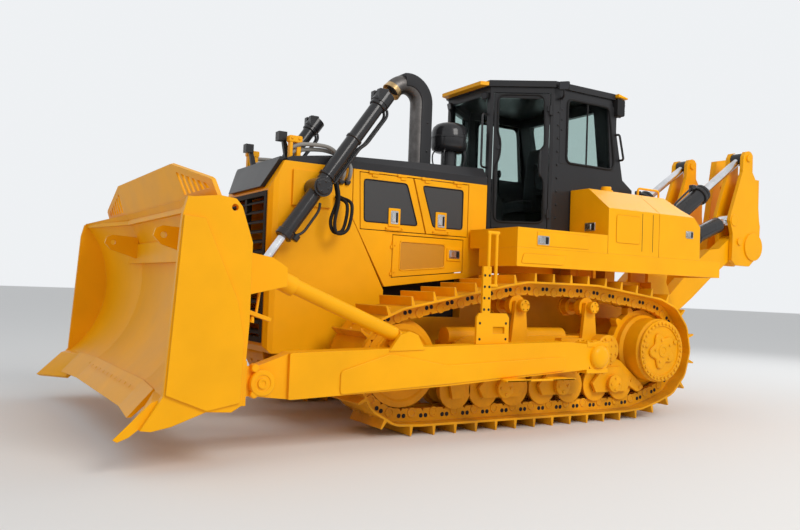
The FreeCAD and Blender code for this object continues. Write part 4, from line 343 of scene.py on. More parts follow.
def bareMetal(name, colour, roughness, scale, streak, rising=0.3):
    # Machined or worn steel: colour clouds and fine streaks in the roughness
    material, tree, shader = newMaterial(name)
    where = addNode(tree, "ShaderNodeTexCoord").outputs["Object"]
    cloud = noiseNode(tree, where, scale, 5.0, 0.6)
    edge = groupNode(tree, edgeGroup, Radius=0.003)
    dust = groupNode(tree, dustAndShadeGroup, Top_Height=0.9, Lying=0.2, Rising=rising)
    dark = tuple(0.62 * part for part in colour[:3]) + (1,)
    base = mixColour(tree, rangeNode(tree, cloud, 0.35, 0.65), colour, dark)
    tree.links.new(mixColour(tree, dust.outputs["Mask"], base, (0.36, 0.28, 0.19, 1)), shader.inputs["Base Color"])
    tree.links.new(rangeNode(tree, noiseNode(tree, where, streak, 2.0), 0.3, 0.7, roughness - 0.06, roughness + 0.12),
                   shader.inputs["Roughness"])
    shader.inputs["Metallic"].default_value = 1.0
    tree.links.new(edge.outputs["Normal"], shader.inputs["Normal"])
    return material


def glassPane(name):
    # Tinted window glass with faint dust; rays pass straight through a thin pane
    material, tree, shader = newMaterial(name)
    dust = groupNode(tree, dustAndShadeGroup, Top_Height=6.0, Lying=0.1, Rising=0.16)
    tree.links.new(mixColour(tree, dust.outputs["Mask"], (0.62, 0.72, 0.70, 1), (0.5, 0.48, 0.44, 1)),
                   shader.inputs["Base Color"])
    tree.links.new(rangeNode(tree, dust.outputs["Mask"], 0.0, 0.3, 0.02, 0.12), shader.inputs["Roughness"])
    shader.inputs["Transmission Weight"].default_value = 1.0
    shader.inputs["IOR"].default_value = 1.05
    shader.inputs["Specular IOR Level"].default_value = 0.9
    return material


def wovenWire(name, wire, gap, pitch):
    # Wires where the share of x or z in the pitch is under a third, and painted shade in the gaps between them
    material, tree, shader = newMaterial(name)
    parts = addNode(tree, "ShaderNodeSeparateXYZ")
    tree.links.new(addNode(tree, "ShaderNodeTexCoord").outputs["Object"], parts.inputs[0])
    opening = None
    for axis in ("X", "Z"):
        share = mathNode(tree, "FRACT", mathNode(tree, "DIVIDE", parts.outputs[axis], pitch), 0.0)
        holeShade = mathNode(tree, "GREATER_THAN", share, 0.34)
        opening = holeShade if opening is None else mathNode(tree, "MULTIPLY", opening, holeShade)
    # The gap colour is painted shade of the space behind the mesh
    tree.links.new(mixColour(tree, opening, wire, gap), shader.inputs["Base Color"])
    shader.inputs["Roughness"].default_value = 0.5
    return material


yellow = (0.93, 0.415, 0.001, 1)
yellowEdge = (0.93, 0.50, 0.06, 1)
finishes = {
    "yellowPaint": paint("yellowPaint", yellow, yellowEdge, 0.42, 0.06, 1.3, 0.03, 0.05),
    "yellowLow": paint("yellowLow", (0.86, 0.37, 0.001, 1), yellowEdge, 0.45, 0.05, 1.0, 0.30, 0.45, tint=0.14),
    "trackPaint": paint("trackPaint", (0.84, 0.37, 0.002, 1), (0.45, 0.33, 0.20, 1), 0.48, 0.03, 0.8, 0.34, 0.50,
                        tint=0.18, radius=0.004, wear=0.8),
    "charcoal": paint("charcoal", (0.022, 0.022, 0.024, 1), (0.09, 0.09, 0.09, 1), 0.38, 0.20, 3.0, 0.06, 0.02),
    "blackGloss": paint("blackGloss", (0.022, 0.022, 0.024, 1), (0.10, 0.10, 0.10, 1), 0.25, 0.4, 3.0, 0.10, 0.05),
    "matteBlack": paint("matteBlack", (0.018, 0.018, 0.019, 1), (0.07, 0.07, 0.07, 1), 0.62, 0.0, 3.0, 0.2, 0.05),
    "chrome": bareMetal("chrome", (0.90, 0.90, 0.92, 1), 0.16, 3.0, 60.0),
    "wornSteel": bareMetal("wornSteel", (0.40, 0.37, 0.34, 1), 0.42, 4.0, 40.0),
    "windowGlass": glassPane("windowGlass"),
    "stackSteel": bareMetal("stackSteel", (0.16, 0.15, 0.145, 1), 0.45, 6.0, 50.0),
    "brass": bareMetal("brass", (0.62, 0.42, 0.20, 1), 0.30, 5.0, 50.0),
    "latchSteel": bareMetal("latchSteel", (0.62, 0.62, 0.62, 1), 0.28, 8.0, 60.0, rising=0.1),
    "rubber": paint("rubber", (0.016, 0.016, 0.017, 1), (0.05, 0.05, 0.05, 1), 0.55, 0.0, 3.0, 0.15, 0.04),
    "silverHose": paint("silverHose", (0.28, 0.27, 0.25, 1), (0.4, 0.4, 0.38, 1), 0.5, 0.0, 3.0, 0.1, 0.04),
    # The second colour of each mesh is painted shade in its gaps
    "darkMesh": wovenWire("darkMesh", (0.050, 0.050, 0.050, 1), (0.010, 0.010, 0.011, 1), 0.009),
    "yellowMesh": wovenWire("yellowMesh", (0.84, 0.36, 0.002, 1), (0.28, 0.12, 0.002, 1), 0.009),
    "seatCloth": paint("seatCloth", (0.030, 0.031, 0.034, 1), (0.05, 0.05, 0.05, 1), 0.85, 0.0, 9.0, 0.05, 0.0),
    "lampGlass": paint("lampGlass", (0.02, 0.02, 0.025, 1), (0.05, 0.05, 0.05, 1), 0.05, 0.6, 9.0, 0.05, 0.02),
}
nodeFinish = {
    "trackPaint": ["track_left", "track_right"],
    "yellowLow": ["sprockets", "idlers", "rollers", "bogies", "track_frames", "main_frame", "cross_shafts"],
    "charcoal": ["hood_top", "cab_shell", "cab_door_left", "cab_door_right", "nose_plate", "nose_lamps",
                 "cab_roof"],
    "blackGloss": ["lift_barrels", "ripper_tilt_cylinders", "ripper_lift_barrels"],
    "matteBlack": ["front_grille", "radiator", "engine", "seat", "console", "precleaner"],
    "chrome": ["lift_rods", "ripper_lift_rods"],
    "windowGlass": ["cab_glass", "door_glass_left", "door_glass_right"],
    "stackSteel": ["exhaust_stack"],
}


def setMaterial(obj, material):
    obj.data.materials.clear()
    obj.data.materials.append(material)


for node in nodes.values():
    setMaterial(node, finishes["yellowPaint"])
for finish, names in nodeFinish.items():
    for name in names:
        setMaterial(nodes[name], finishes[finish])
print("stage: finishes")


# Surfaces: a part is (points, faces), and a piece joins its parts in one mesh

def skin(rings, loop=False):
    # Quads from ring to ring, each ring of equally many points; flat ends unless the last meets the first
    rings = np.asarray(rings, float)
    count, size = rings.shape[:2]
    index = np.arange(count * size).reshape(count, size)
    start, end = (index, np.roll(index, -1, 0)) if loop else (index[:-1], index[1:])
    faces = np.stack([start, np.roll(start, -1, 1), np.roll(end, -1, 1), end], -1).reshape(-1, 4).tolist()
    if not loop:
        faces += [index[0][::-1].tolist(), index[-1].tolist()]
    return rings.reshape(-1, 3), faces


def rounded(points, bend, steps=5, closed=False):
    # Rounds each corner b between p and q: (1-t)^2 p + 2t(1-t) b + t^2 q
    points = [np.array(point, float) for point in points]
    count = len(points)
    path = [] if closed else [points[0]]
    share = np.linspace(0, 1, steps)[:, None]
    for k in range(0 if closed else 1, count if closed else count - 1):
        corner = points[k]
        ends = []
        for other in (points[k - 1], points[(k + 1) % count]):
            reach = np.linalg.norm(other - corner)
            ends.append(corner + (other - corner) * min(bend, reach * 0.5) / reach)
        path += list((1 - share) ** 2 * ends[0] + 2 * share * (1 - share) * corner + share ** 2 * ends[1])
    return np.array(path if closed else path + [points[-1]])


def eased(points, steps=8):
    # Curve through the points: between b and c it is the cubic with the slopes (c - a) / 2 and (d - b) / 2
    points = np.array(points, float)
    padded = np.vstack([2 * points[0] - points[1], points, 2 * points[-1] - points[-2]])
    t = np.linspace(0, 1, steps, endpoint=False)[:, None]
    path = []
    for a, b, c, d in zip(padded, padded[1:], padded[2:], padded[3:]):
        bend, twist = 2 * a - 5 * b + 4 * c - d, 3 * b - a - 3 * c + d
        path += list(0.5 * (2 * b + (c - a) * t + bend * t ** 2 + twist * t ** 3))
    return np.array(path + [points[-1]])


def carried(path, section, normal=None, closed=False):
    # Section of (sideways, upwards) pairs carried along a path: point + a * side + b * up
    path = np.asarray(path, float)
    ahead = np.roll(path, -1, 0) - np.roll(path, 1, 0) if closed else np.gradient(path, axis=0)
    ahead /= np.linalg.norm(ahead, axis=1, keepdims=True)
    if normal is not None:
        up = np.broadcast_to(np.asarray(normal, float), path.shape)
        side = np.cross(ahead, up)
        side /= np.linalg.norm(side, axis=1, keepdims=True)
    else:
        last = np.cross(ahead[0], (0, 0, 1) if abs(ahead[0, 2]) < 0.9 else (0, 1, 0))
        side = []
        for along in ahead:
            last = last - along * (last @ along)
            last = last / np.linalg.norm(last)
            side.append(last)
        side = np.array(side)
        up = np.cross(ahead, side)
    section = np.asarray(section, float)
    a, b = section[..., 0], section[..., 1]
    return skin(path[:, None] + a[..., None] * side[:, None] + b[..., None] * up[:, None], closed)


def circle(radius, sides=12):
    # radius * (cos a, sin a), once for each radius given
    angle = np.linspace(0, 2 * np.pi, sides, endpoint=False)
    return np.stack([np.cos(angle), np.sin(angle)], -1) * np.asarray(radius)[..., None, None]


def tube(path, radius, sides=12, normal=None, closed=False):
    # Circle carried along a path, of one radius or of one for each point
    return carried(path, circle(radius, sides), normal, closed)


def turned(profile, place, axis=(0, 1, 0), sides=24):
    # Profile of (along, radius) pairs turned round an axis through a place
    axis = np.array(axis, float) / np.linalg.norm(axis)
    profile = np.array(profile, float)
    side = np.cross(axis, (0, 0, 1) if abs(axis[2]) < 0.9 else (1, 0, 0))
    side /= np.linalg.norm(side)
    ring = circle(1.0, sides)
    spokes = ring[:, :1] * side + ring[:, 1:] * np.cross(axis, side)
    return skin(np.array(place) + profile[:, None, :1] * axis + profile[:, None, 1:] * spokes)


def inset(outline, amount):
    # Moves each corner along its mitre, inwards by the amount
    outline = np.asarray(outline, float)
    edge = np.roll(outline, -1, 0) - outline
    edge /= np.linalg.norm(edge, axis=1, keepdims=True)
    after = np.stack([-edge[:, 1], edge[:, 0]], -1)
    before = np.roll(after, 1, 0)
    area = np.sum(outline[:, 0] * np.roll(outline[:, 1], -1) - outline[:, 1] * np.roll(outline[:, 0], -1))
    room = 1 + np.sum(before * after, axis=1, keepdims=True)
    return outline + (before + after) / np.maximum(room, 0.3) * amount * np.sign(area)


planeOrder = {"XZ": (0, 2, 1), "XY": (0, 1, 2), "YZ": (2, 0, 1)}


def panel(outline, plane, low, high, chamfer=0.004):
    # Outline in a plane carried across it, with both rims chamfered; "YZ" outlines are (y, z) pairs
    smaller = inset(outline, chamfer)
    rings = []
    for shape, across in ((smaller, low), (outline, low + chamfer), (outline, high - chamfer), (smaller, high)):
        shape = np.asarray(shape, float)
        rings.append(np.column_stack([shape, np.full(len(shape), across)]))
    return skin(np.array(rings)[:, :, planeOrder[plane]])


def plate(outline, origin, along, up, thickness, chamfer=0.003):
    # Outline of (along, up) pairs in any plane through origin, as thick as said on its outer side
    along, up = np.array(along, float), np.array(up, float)
    out = np.cross(along, up)
    smaller = inset(outline, chamfer)
    rings = []
    for shape, across in ((outline, 0.0), (outline, thickness - chamfer), (smaller, thickness)):
        shape = np.asarray(shape, float)
        rings.append(np.array(origin) + shape[:, :1] * along + shape[:, 1:] * up + across * out)
    return skin(rings)


def rectangle(low, high, corner=0.0, steps=4):
    # Outline between two opposite corners, with its corners rounded where a bend is given
    (a, b), (c, d) = low, high
    points = [(a, b), (c, b), (c, d), (a, d)]
    return rounded(points, corner, steps, closed=True) if corner else np.array(points, float)


def block(low, high, corner=0.0, plane="XZ", chamfer=0.004):
    # Block between two opposite corners, its outline rounded in the named plane
    order = planeOrder[plane]
    ends = []
    for place in (low, high):
        turnedBack = [0.0, 0.0, 0.0]
        for slotIndex, source in enumerate(order):
            turnedBack[source] = place[slotIndex]
        ends.append(turnedBack)
    (a, b, c), (d, e, f) = ends
    return panel(rectangle((a, b), (d, e), corner), plane, c, f, chamfer)


def bolt(place, axis, size):
    # Washer and chamfered hexagon head; size is half the width of the head
    washer = turned([(0, size * 1.25), (size * 0.18, size * 1.25), (size * 0.22, size * 1.18)], place, axis, 12)
    head = turned([(size * 0.2, size * 1.1), (size * 0.85, size * 1.1), (size * 1.0, size * 0.9)], place, axis, 6)
    return [washer, head]


def bolts(places, axis, size):
    return [part for place in places for part in bolt(place, axis, size)]


def mirrored(parts):
    # Mirror images across the middle plane
    return [(points * (1, -1, 1), [face[::-1] for face in faces]) for points, faces in parts]


def both(parts):
    return parts + mirrored(parts)


def frameBeyond(opening, half, middle):
    # For each point of an opening, the point where the same ray from the middle leaves a rectangle
    reach = np.asarray(opening, float) - middle
    return middle + reach / np.max(np.abs(reach) / half, axis=1, keepdims=True)


def ringOf(centre, radius, count, start=0.0):
    # Places on a circle in the side plane: centre + radius * (cos a, sin a)
    angle = start + 2 * np.pi * np.arange(count) / count
    x, y, z = centre
    return [(x + radius * math.cos(a), y, z + radius * math.sin(a)) for a in angle]


def piece(name, parts, finish, body="chassis", sharp=35):
    # One mesh from all the parts, with doubled points joined, faces outwards and only sharp edges left hard
    counts = np.cumsum([0] + [len(points) for points, faces in parts])
    points = np.vstack([points for points, faces in parts]) + (shift, 0, 0)
    faces = [[corner + start for corner in face] for (_, group), start in zip(parts, counts) for face in group]
    mesh = bpy.data.meshes.new(name)
    mesh.from_pydata(points.tolist(), [], faces)
    tidy = bmesh.new()
    tidy.from_mesh(mesh)
    bmesh.ops.remove_doubles(tidy, verts=tidy.verts, dist=0.000002)
    bmesh.ops.recalc_face_normals(tidy, faces=tidy.faces)
    tidy.to_mesh(mesh)
    tidy.free()
    mesh.shade_smooth()
    mesh.set_sharp_from_angle(angle=math.radians(sharp))
    mesh.materials.append(finishes[finish])
    obj = bpy.data.objects.new(name, mesh)
    scene.collection.objects.link(obj)
    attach(obj, body)
    return obj


print("stage: surfaces ready")


# Tracks: pins on a belt round the wheels, as in the solids

track = {"pitch": 0.2286, "centre": 1.07, "chainHalf": 0.13,
         "windows": (0.36, 0.58), "windowRadius": 0.020, "windowOut": 0.030, "windowThick": 0.0015,
         "pin": [(0, 0.047), (0.007, 0.044), (0.007, 0.031), (0.002, 0.028), (0.002, 0.0)],
         "bolts": (0.60, 0.86), "boltSide": 0.10, "boltOut": 0.10, "boltSize": 0.013,
         "wheels": ((0.262, 0.18, 0.0), (3.10, 0.60, 0.42), (1.83, 1.155, 0.137), (0.915, 1.155, 0.137),
                    (0.0, 0.72, 0.46))}  # windows and bolts are shares of the pitch, wheels are (x, z, radius)


def beltPins(wheels, pitch):
    # Straight runs between wheels and arcs round them, cut into equal steps a quarter step before the first
    count = len(wheels)
    leave = []
    for k in range(count):
        (x0, z0, r0), (x1, z1, r1) = wheels[k], wheels[(k + 1) % count]
        reach = math.hypot(x1 - x0, z1 - z0)
        leave.append(math.atan2(z1 - z0, x1 - x0) - math.acos((r0 - r1) / reach))
    path = []
    for k in range(count):
        x, z, radius = wheels[(k + 1) % count]
        x0, z0, r0 = wheels[k]
        path.append((x0 + r0 * math.cos(leave[k]), z0 + r0 * math.sin(leave[k])))
        sweep = (leave[(k + 1) % count] - leave[k]) % (2 * math.pi)
        for a in leave[k] + np.linspace(0, sweep, 60 if radius else 1):
            path.append((x + radius * math.cos(a), z + radius * math.sin(a)))
    path = np.array(path + path[:1])
    reach = np.concatenate([[0], np.cumsum(np.linalg.norm(np.diff(path, axis=0), axis=1))])
    number = round(reach[-1] / pitch)
    at = (np.arange(number) - 0.25) % number * reach[-1] / number
    return np.stack([np.interp(at, reach, path[:, 0]), np.interp(at, reach, path[:, 1])], -1)


def makeTracks():
    # On each link: two bolt windows filled with dark discs of painted shade and a pin end on both sides of the chain,
    # four bolts on the shoe
    pins = beltPins(track["wheels"], track["pitch"])
    ahead = np.roll(pins, -1, 0) - pins
    ahead /= np.linalg.norm(ahead, axis=1, keepdims=True)
    out = np.stack([ahead[:, 1], -ahead[:, 0]], -1)
    windows, pinEnds, heads = [], [], []
    centre, half, thick = track["centre"], track["chainHalf"], track["windowThick"]
    disc = [(0, track["windowRadius"]), (thick, track["windowRadius"])]
    for pin, along, away in zip(pins, ahead, out):
        for share in track["windows"]:
            x, z = pin + along * share * track["pitch"] + away * track["windowOut"]
            windows += [turned(disc, (x, y, z), sides=14) for y in (centre + half, centre - half - thick)]
        for turn in (1, -1):
            pinEnds.append(turned(track["pin"], (pin[0], centre + turn * half, pin[1]), (0, turn, 0), 16))
        for share in track["bolts"]:
            x, z = pin + along * share * track["pitch"] + away * track["boltOut"]
            heads += bolts([(x, centre + side, z) for side in (-track["boltSide"], track["boltSide"])],
                           (away[0], 0, away[1]), track["boltSize"])
    # Dark discs of painted shade in the link windows
    piece("linkWindowShade", both(windows), "matteBlack")
    piece("linkPins", both(pinEnds), "trackPaint")
    piece("shoeBolts", both(heads), "trackPaint")


makeTracks()


# Undercarriage

drive = {"height": 0.72, "face": 1.42, "lobes": (0.165, 0.030), "boltCircle": 0.292, "bolts": 32,
         "rim": [(-0.004, 0.325), (0.012, 0.322), (0.012, 0.262), (-0.004, 0.258)],
         "hub": [(0.02, 0.070), (0.034, 0.066), (0.034, 0.040), (0.028, 0.036), (0.028, 0.0)],
         "plug": [(0, 0.026), (0.012, 0.026), (0.016, 0.020), (0.016, 0.0)],
         "plugCircle": 0.232, "plugAngles": (0.25, 2.75)}


def makeFinalDrives():
    # Raised cover with five lobes, radius mean + wave * cos(5a + 0.5), in a ring of bolts
    height, face = drive["height"], drive["face"]
    mean, wave = drive["lobes"]
    angle = np.linspace(0, 2 * np.pi, 80, endpoint=False)
    radius = mean + wave * np.cos(5 * angle + 0.5)
    outline = np.stack([radius * np.cos(angle), height + radius * np.sin(angle)], -1)
    parts = [panel(outline, "XZ", face - 0.004, face + 0.026, 0.010)]
    parts.append(turned(drive["rim"], (0, face, height), sides=64))
    parts.append(turned(drive["hub"], (0, face, height), sides=28))
    parts += bolts(ringOf((0, face + 0.010, height), drive["boltCircle"], drive["bolts"]), (0, 1, 0), 0.016)
    parts += bolts(ringOf((0, face + 0.024, height), 0.118, 5, start=0.1), (0, 1, 0), 0.014)
    for a in drive["plugAngles"]:
        x, z = drive["plugCircle"] * math.cos(a), height + drive["plugCircle"] * math.sin(a)
        parts.append(turned(drive["plug"], (x, face - 0.003, z), sides=16))
    piece("driveCovers", both(parts), "yellowLow")


pivotCap = {"place": (0.776, 1.385, 0.735), "boltCircle": 0.117,
            "disc": [(0, 0.150), (0.022, 0.150), (0.028, 0.142), (0.028, 0.0)],
            "boss": [(0.02, 0.085), (0.050, 0.080), (0.050, 0.0)]}


def makePivotCaps():
    # Round cap with a boss over each pivot shaft's end, eight bolts round it and three on the boss
    x, y, z = pivotCap["place"]
    parts = [turned(pivotCap["disc"], (x, y, z), sides=40), turned(pivotCap["boss"], (x, y, z), sides=32)]
    parts += bolts(ringOf((x, y + 0.027, z), pivotCap["boltCircle"], 8, start=0.4), (0, 1, 0), 0.013)
    parts += bolts(ringOf((x, y + 0.049, z), 0.045, 3), (0, 1, 0), 0.010)
    piece("pivotCaps", both(parts), "yellowLow")


rollerCap = {"places": (0.578, 1.300, 2.022), "side": 1.322, "height": 0.377,
             "disc": [(-0.002, 0.092), (0.012, 0.090), (0.016, 0.084), (0.016, 0.0)]}
carrierCap = {"places": (0.915, 1.83), "side": 1.293, "height": 1.155,
              "disc": [(0, 0.060), (0.05, 0.060), (0.058, 0.052), (0.058, 0.030), (0.052, 0.026), (0.052, 0.0)]}


def makeRollerCaps():
    # Caps with four bolts at the bogies' ends, and with five on the carrier rollers
    parts = []
    y, z = rollerCap["side"], rollerCap["height"]
    for x in rollerCap["places"]:
        parts.append(turned(rollerCap["disc"], (x, y, z), sides=28))
        parts += bolts(ringOf((x, y + 0.015, z), 0.058, 4), (0, 1, 0), 0.012)
    y, z = carrierCap["side"], carrierCap["height"]
    for x in carrierCap["places"]:
        parts.append(turned(carrierCap["disc"], (x, y, z), sides=24))
        parts += bolts(ringOf((x, y + 0.050, z), 0.042, 5, start=0.3), (0, 1, 0), 0.008)
    piece("rollerCaps", both(parts), "yellowLow")


idlerHub = {"place": (3.10, 1.278, 0.60),
            "disc": [(-0.004, 0.056), (0.012, 0.054), (0.018, 0.048), (0.018, 0.030), (0.012, 0.026), (0.012, 0.0)]}


def makeIdlerHubs():
    # Stepped cap with four bolts at the middle of each idler
    x, y, z = idlerHub["place"]
    parts = [turned(idlerHub["disc"], (x, y, z), sides=32)]
    parts += bolts(ringOf((x, y + 0.014, z), 0.040, 4), (0, 1, 0), 0.006)
    piece("idlerHubs", both(parts), "yellowLow")


rearGuard = {"outline": [(0.90, 0.55), (0.58, 0.492), (0.16, 0.262), (0.06, 0.318), (0.45, 0.615), (0.86, 0.69)],
             "inner": 1.230, "outer": 1.262, "bolts": [(0.14, 0.318), (0.27, 0.395), (0.44, 0.500), (0.58, 0.580)]}


def makeRearGuards():
    # Plate from the pivot cap down to the rear that keeps the chain on the sprocket, with its bolts
    outline = rounded(rearGuard["outline"], 0.04, 4, closed=True)
    parts = [panel(outline, "XZ", rearGuard["inner"], rearGuard["outer"], 0.006)]
    parts += bolts([(x, rearGuard["outer"] - 0.001, z) for x, z in rearGuard["bolts"]], (0, 1, 0), 0.013)
    piece("rearGuards", both(parts), "yellowLow")


makeFinalDrives()
makePivotCaps()
makeRollerCaps()
makeIdlerHubs()
makeRearGuards()
print("stage: undercarriage")


# Push arms, their pins and steps

arm = {
    "outer": 1.68, "inner": 1.50,
    "doubler": [(1.62, 0.570), (2.92, 0.490), (3.95, 0.438), (3.95, 0.62), (3.50, 0.752), (2.95, 0.648),
                (1.74, 0.698), (1.62, 0.690)],
    "joint": (4.605, 0.553),
    "boss": [(-0.02, 0.098), (0.020, 0.098), (0.030, 0.090), (0.030, 0.062), (0.024, 0.058), (0.024, 0.0)],
    "pin": [(0.02, 0.040), (0.036, 0.038), (0.036, 0.022), (0.030, 0.018), (0.030, 0.0)],
    "keepers": [(4.665, 0.663), (4.665, 0.475)],
    "keeper": [(-0.02, 0.032), (0.030, 0.030), (0.036, 0.024), (0.036, 0.0)],
    "trunnion": (1.186, 0.696),
    "cap": [(-0.01, 0.112), (0.02, 0.112), (0.045, 0.095), (0.060, 0.060), (0.064, 0.0)],
    "clampEnds": (1.06, 1.34), "clamps": (0.810, 0.560), "clampHalf": 0.022,
    "boltPlaces": (1.09, 1.16, 1.23, 1.30), "boltRows": (0.035, 0.145), "boltHeights": (0.832, 0.538),
}
armStep = {"ends": (1.62, 2.42), "out": (0.10, 0.15), "heights": (0.505, 0.520), "brackets": (1.76, 2.28),
           "bracketHalf": (0.09, 0.13), "bracketThick": 0.014}
railHole = {"side": 1.6125, "radius": 0.012, "columns": [((2.475, 2.525), (1.12, 1.22, 1.32, 1.42)),
                                                         ((2.275, 2.565), (0.86, 1.00))]}


def makeArmDetails():
    # Raised doubler on the arm's outer side, front joint with its pin, and the clamp of the rear trunnion
    outer, (x, z), (trunnionX, trunnionZ) = arm["outer"], arm["joint"], arm["trunnion"]
    parts = [panel(rounded(arm["doubler"], 0.03, 3, closed=True), "XZ", outer - 0.002, outer + 0.012, 0.005),
             turned(arm["boss"], (x, outer + 0.03, z), sides=36),
             turned(arm["pin"], (x, outer + 0.03, z), sides=24)]
    parts += [turned(arm["keeper"], (keepX, outer + 0.02, keepZ), sides=20) for keepX, keepZ in arm["keepers"]]
    parts.append(turned(arm["cap"], (trunnionX, outer, trunnionZ), sides=36))
    (start, end), half = arm["clampEnds"], arm["clampHalf"]
    for middle in arm["clamps"]:
        parts.append(block((start, arm["inner"] + 0.02, middle - half), (end, outer + 0.006, middle + half), 0.01))
    spots = [(place, outer - row) for place in arm["boltPlaces"] for row in arm["boltRows"]]
    for height, turn in zip(arm["boltHeights"], (1, -1)):
        parts += bolts([(*spot, height) for spot in spots], (0, 0, turn), 0.014)
    piece("armFittings", both(parts), "yellowPaint", "blade_frame")


def makeArmSteps():
    # Flat bar on two brackets that widen outwards
    outer, (near, far), (low, high) = arm["outer"], armStep["out"], armStep["heights"]
    (start, end), (root, tip) = armStep["ends"], armStep["bracketHalf"]
    step = [block((start, outer + near, low), (end, outer + far, high), 0.0, "XY", 0.003)]
    for x in armStep["brackets"]:
        outline = [(x - root, outer), (x + root, outer), (x + tip, outer + far), (x - tip, outer + far)]
        step.append(panel(outline, "XY", low, low + armStep["bracketThick"], 0.003))
    piece("armSteps", both(step), "yellowPaint", "blade_frame")


def makeRailHoles():
    # Dark discs of painted shade for the bolt holes in the rail's plate
    disc = [(0, railHole["radius"]), (0.001, railHole["radius"])]
    holes = [turned(disc, (x, railHole["side"], z), sides=12)
             for across, up in railHole["columns"] for x in across for z in up]
    piece("railHoleShade", both(holes), "matteBlack", "blade_frame")


brace = {
    "nuts": [((4.44, 1.59, 1.307), (4.33, 1.59, 1.257), 0.075), ((3.42, 1.59, 0.868), (3.36, 1.59, 0.842), 0.078)],
    "bar": [(4.60, 1.60, 1.27), (4.63, 1.60, 1.03)], "barRadius": 0.011,
    "knob": [(4.65, 1.60, 1.05), (4.66, 1.60, 0.985)], "knobRadii": [0.010, 0.020],
    "lug": [(4.52, 0.99), (4.70, 1.05), (4.695, 1.082), (4.51, 1.02)], "lugSides": (1.585, 1.625),
}


def makeBraceDetails():
    # Threaded end of the brace with its lock nut, and the turning bar hung under it
    parts = [tube([start, end], radius, 28) for start, end, radius in brace["nuts"]]
    parts.append(tube(brace["bar"], brace["barRadius"], 10))
    parts.append(tube(brace["knob"], brace["knobRadii"], 10))
    parts.append(panel(brace["lug"], "XZ", *brace["lugSides"], 0.003))
    piece("braceFittings", both(parts), "yellowPaint", "blade_frame")


makeArmDetails()
makeArmSteps()
makeRailHoles()
makeBraceDetails()


# Blade

edgeBolt = {"slope": (0.182, 0, -0.183), "top": (5.298, 0.494), "down": 0.06, "half": 0.85, "count": 11,
            "head": [(0, 0.017), (0.003, 0.014), (0.003, 0.0)]}


def makeBladeDetails():
    # Bolts of the end bits and the cutting edge, in a row on the slope between foot and lip
    slope = np.array(edgeBolt["slope"])
    slope /= np.linalg.norm(slope)
    x, z = edgeBolt["top"]
    heads = [turned(edgeBolt["head"], (x, y, z) + slope * edgeBolt["down"], (-slope[2], 0, slope[0]), 6)
             for y in np.linspace(-edgeBolt["half"], edgeBolt["half"], edgeBolt["count"])]
    piece("edgeBolts", heads, "yellowPaint", "blade_frame")


makeBladeDetails()
print("stage: blade and arms")


# Cylinders, with their pipes and hoses

def onLine(ends, y, along, away=0.0):
    # Place beside a line in the side plane: end + along * d + away * (d turned a quarter from x towards z)
    (x0, z0), (x1, z1) = ends
    reach = math.hypot(x1 - x0, z1 - z0)
    dx, dz = (x1 - x0) / reach, (z1 - z0) / reach
    return (x0 + dx * along - dz * away, y, z0 + dz * along + dx * away)


def lineAxis(ends):
    # Unit vector along a line in the side plane
    return np.array(onLine(ends, 0, 1)) - np.array(onLine(ends, 0, 0))


def band(place, axis, radius, width, drop, slope, sides):
    # Ring round a barrel, lower by drop at both rims
    return turned([(0, radius - drop), (slope, radius), (width - slope, radius), (width, radius - drop)],
                  place, axis, sides)


lift = {
    "y": 0.75, "line": ((3.76, 2.15), (4.58, 0.98)), "head": -1.085, "pipeRadius": 0.013,
    "longPipe": [(-1.02, -0.085), (-0.98, -0.125), (-0.62, -0.118), (-0.55, -0.090), (-0.12, -0.090)],
    "shortPipe": [(0.10, -0.095), (0.16, -0.13), (0.42, -0.13), (0.50, -0.075)],
    "bands": [(-1.085, 0.084, 0.10), (-0.60, 0.078, 0.03), (0.50, 0.079, 0.065), (-0.15, 0.080, 0.03)],
    "port": [(0, 0.034), (0.05, 0.034), (0.055, 0.026), (0.055, 0.0)],
    "gland": [(0, 0.060), (0.03, 0.056), (0.03, 0.0)],
    "pivot": [(-0.002, 0.072), (0.010, 0.072), (0.016, 0.064), (0.016, 0.0)],
    "headPort": -1.03, "headPortHalf": (0.05, 0.03),
}  # pipes are (along, away) from the pivot, bands (along, radius, width)
liftHose = {
    "radius": 0.016, "sides": 10,
    "barrel": [(-0.14, -0.10, 0.755), (-0.02, -0.20, 0.775), (0.16, -0.27, 0.755), (0.22, -0.36, 0.755)],
    "barrelApart": [(0, 0, 0.035), (0, 0, 0.035), (0, -0.03, 0.035), (0, -0.02, 0.035)],
    "guard": [(3.50, 0.755, 1.80), (3.47, 0.755, 2.02), (3.52, 0.62, 2.10)],
    "guardApart": [(-0.03, 0.035, 0), (-0.03, 0.035, 0), (-0.05, 0, 0)],
}  # barrel points are (along, away, y), guard points (x, y, z); the second hose lies apart from the first


def liftPoint(along, away=0.0, y=lift["y"]):
    return onLine(lift["line"], y, along, away)


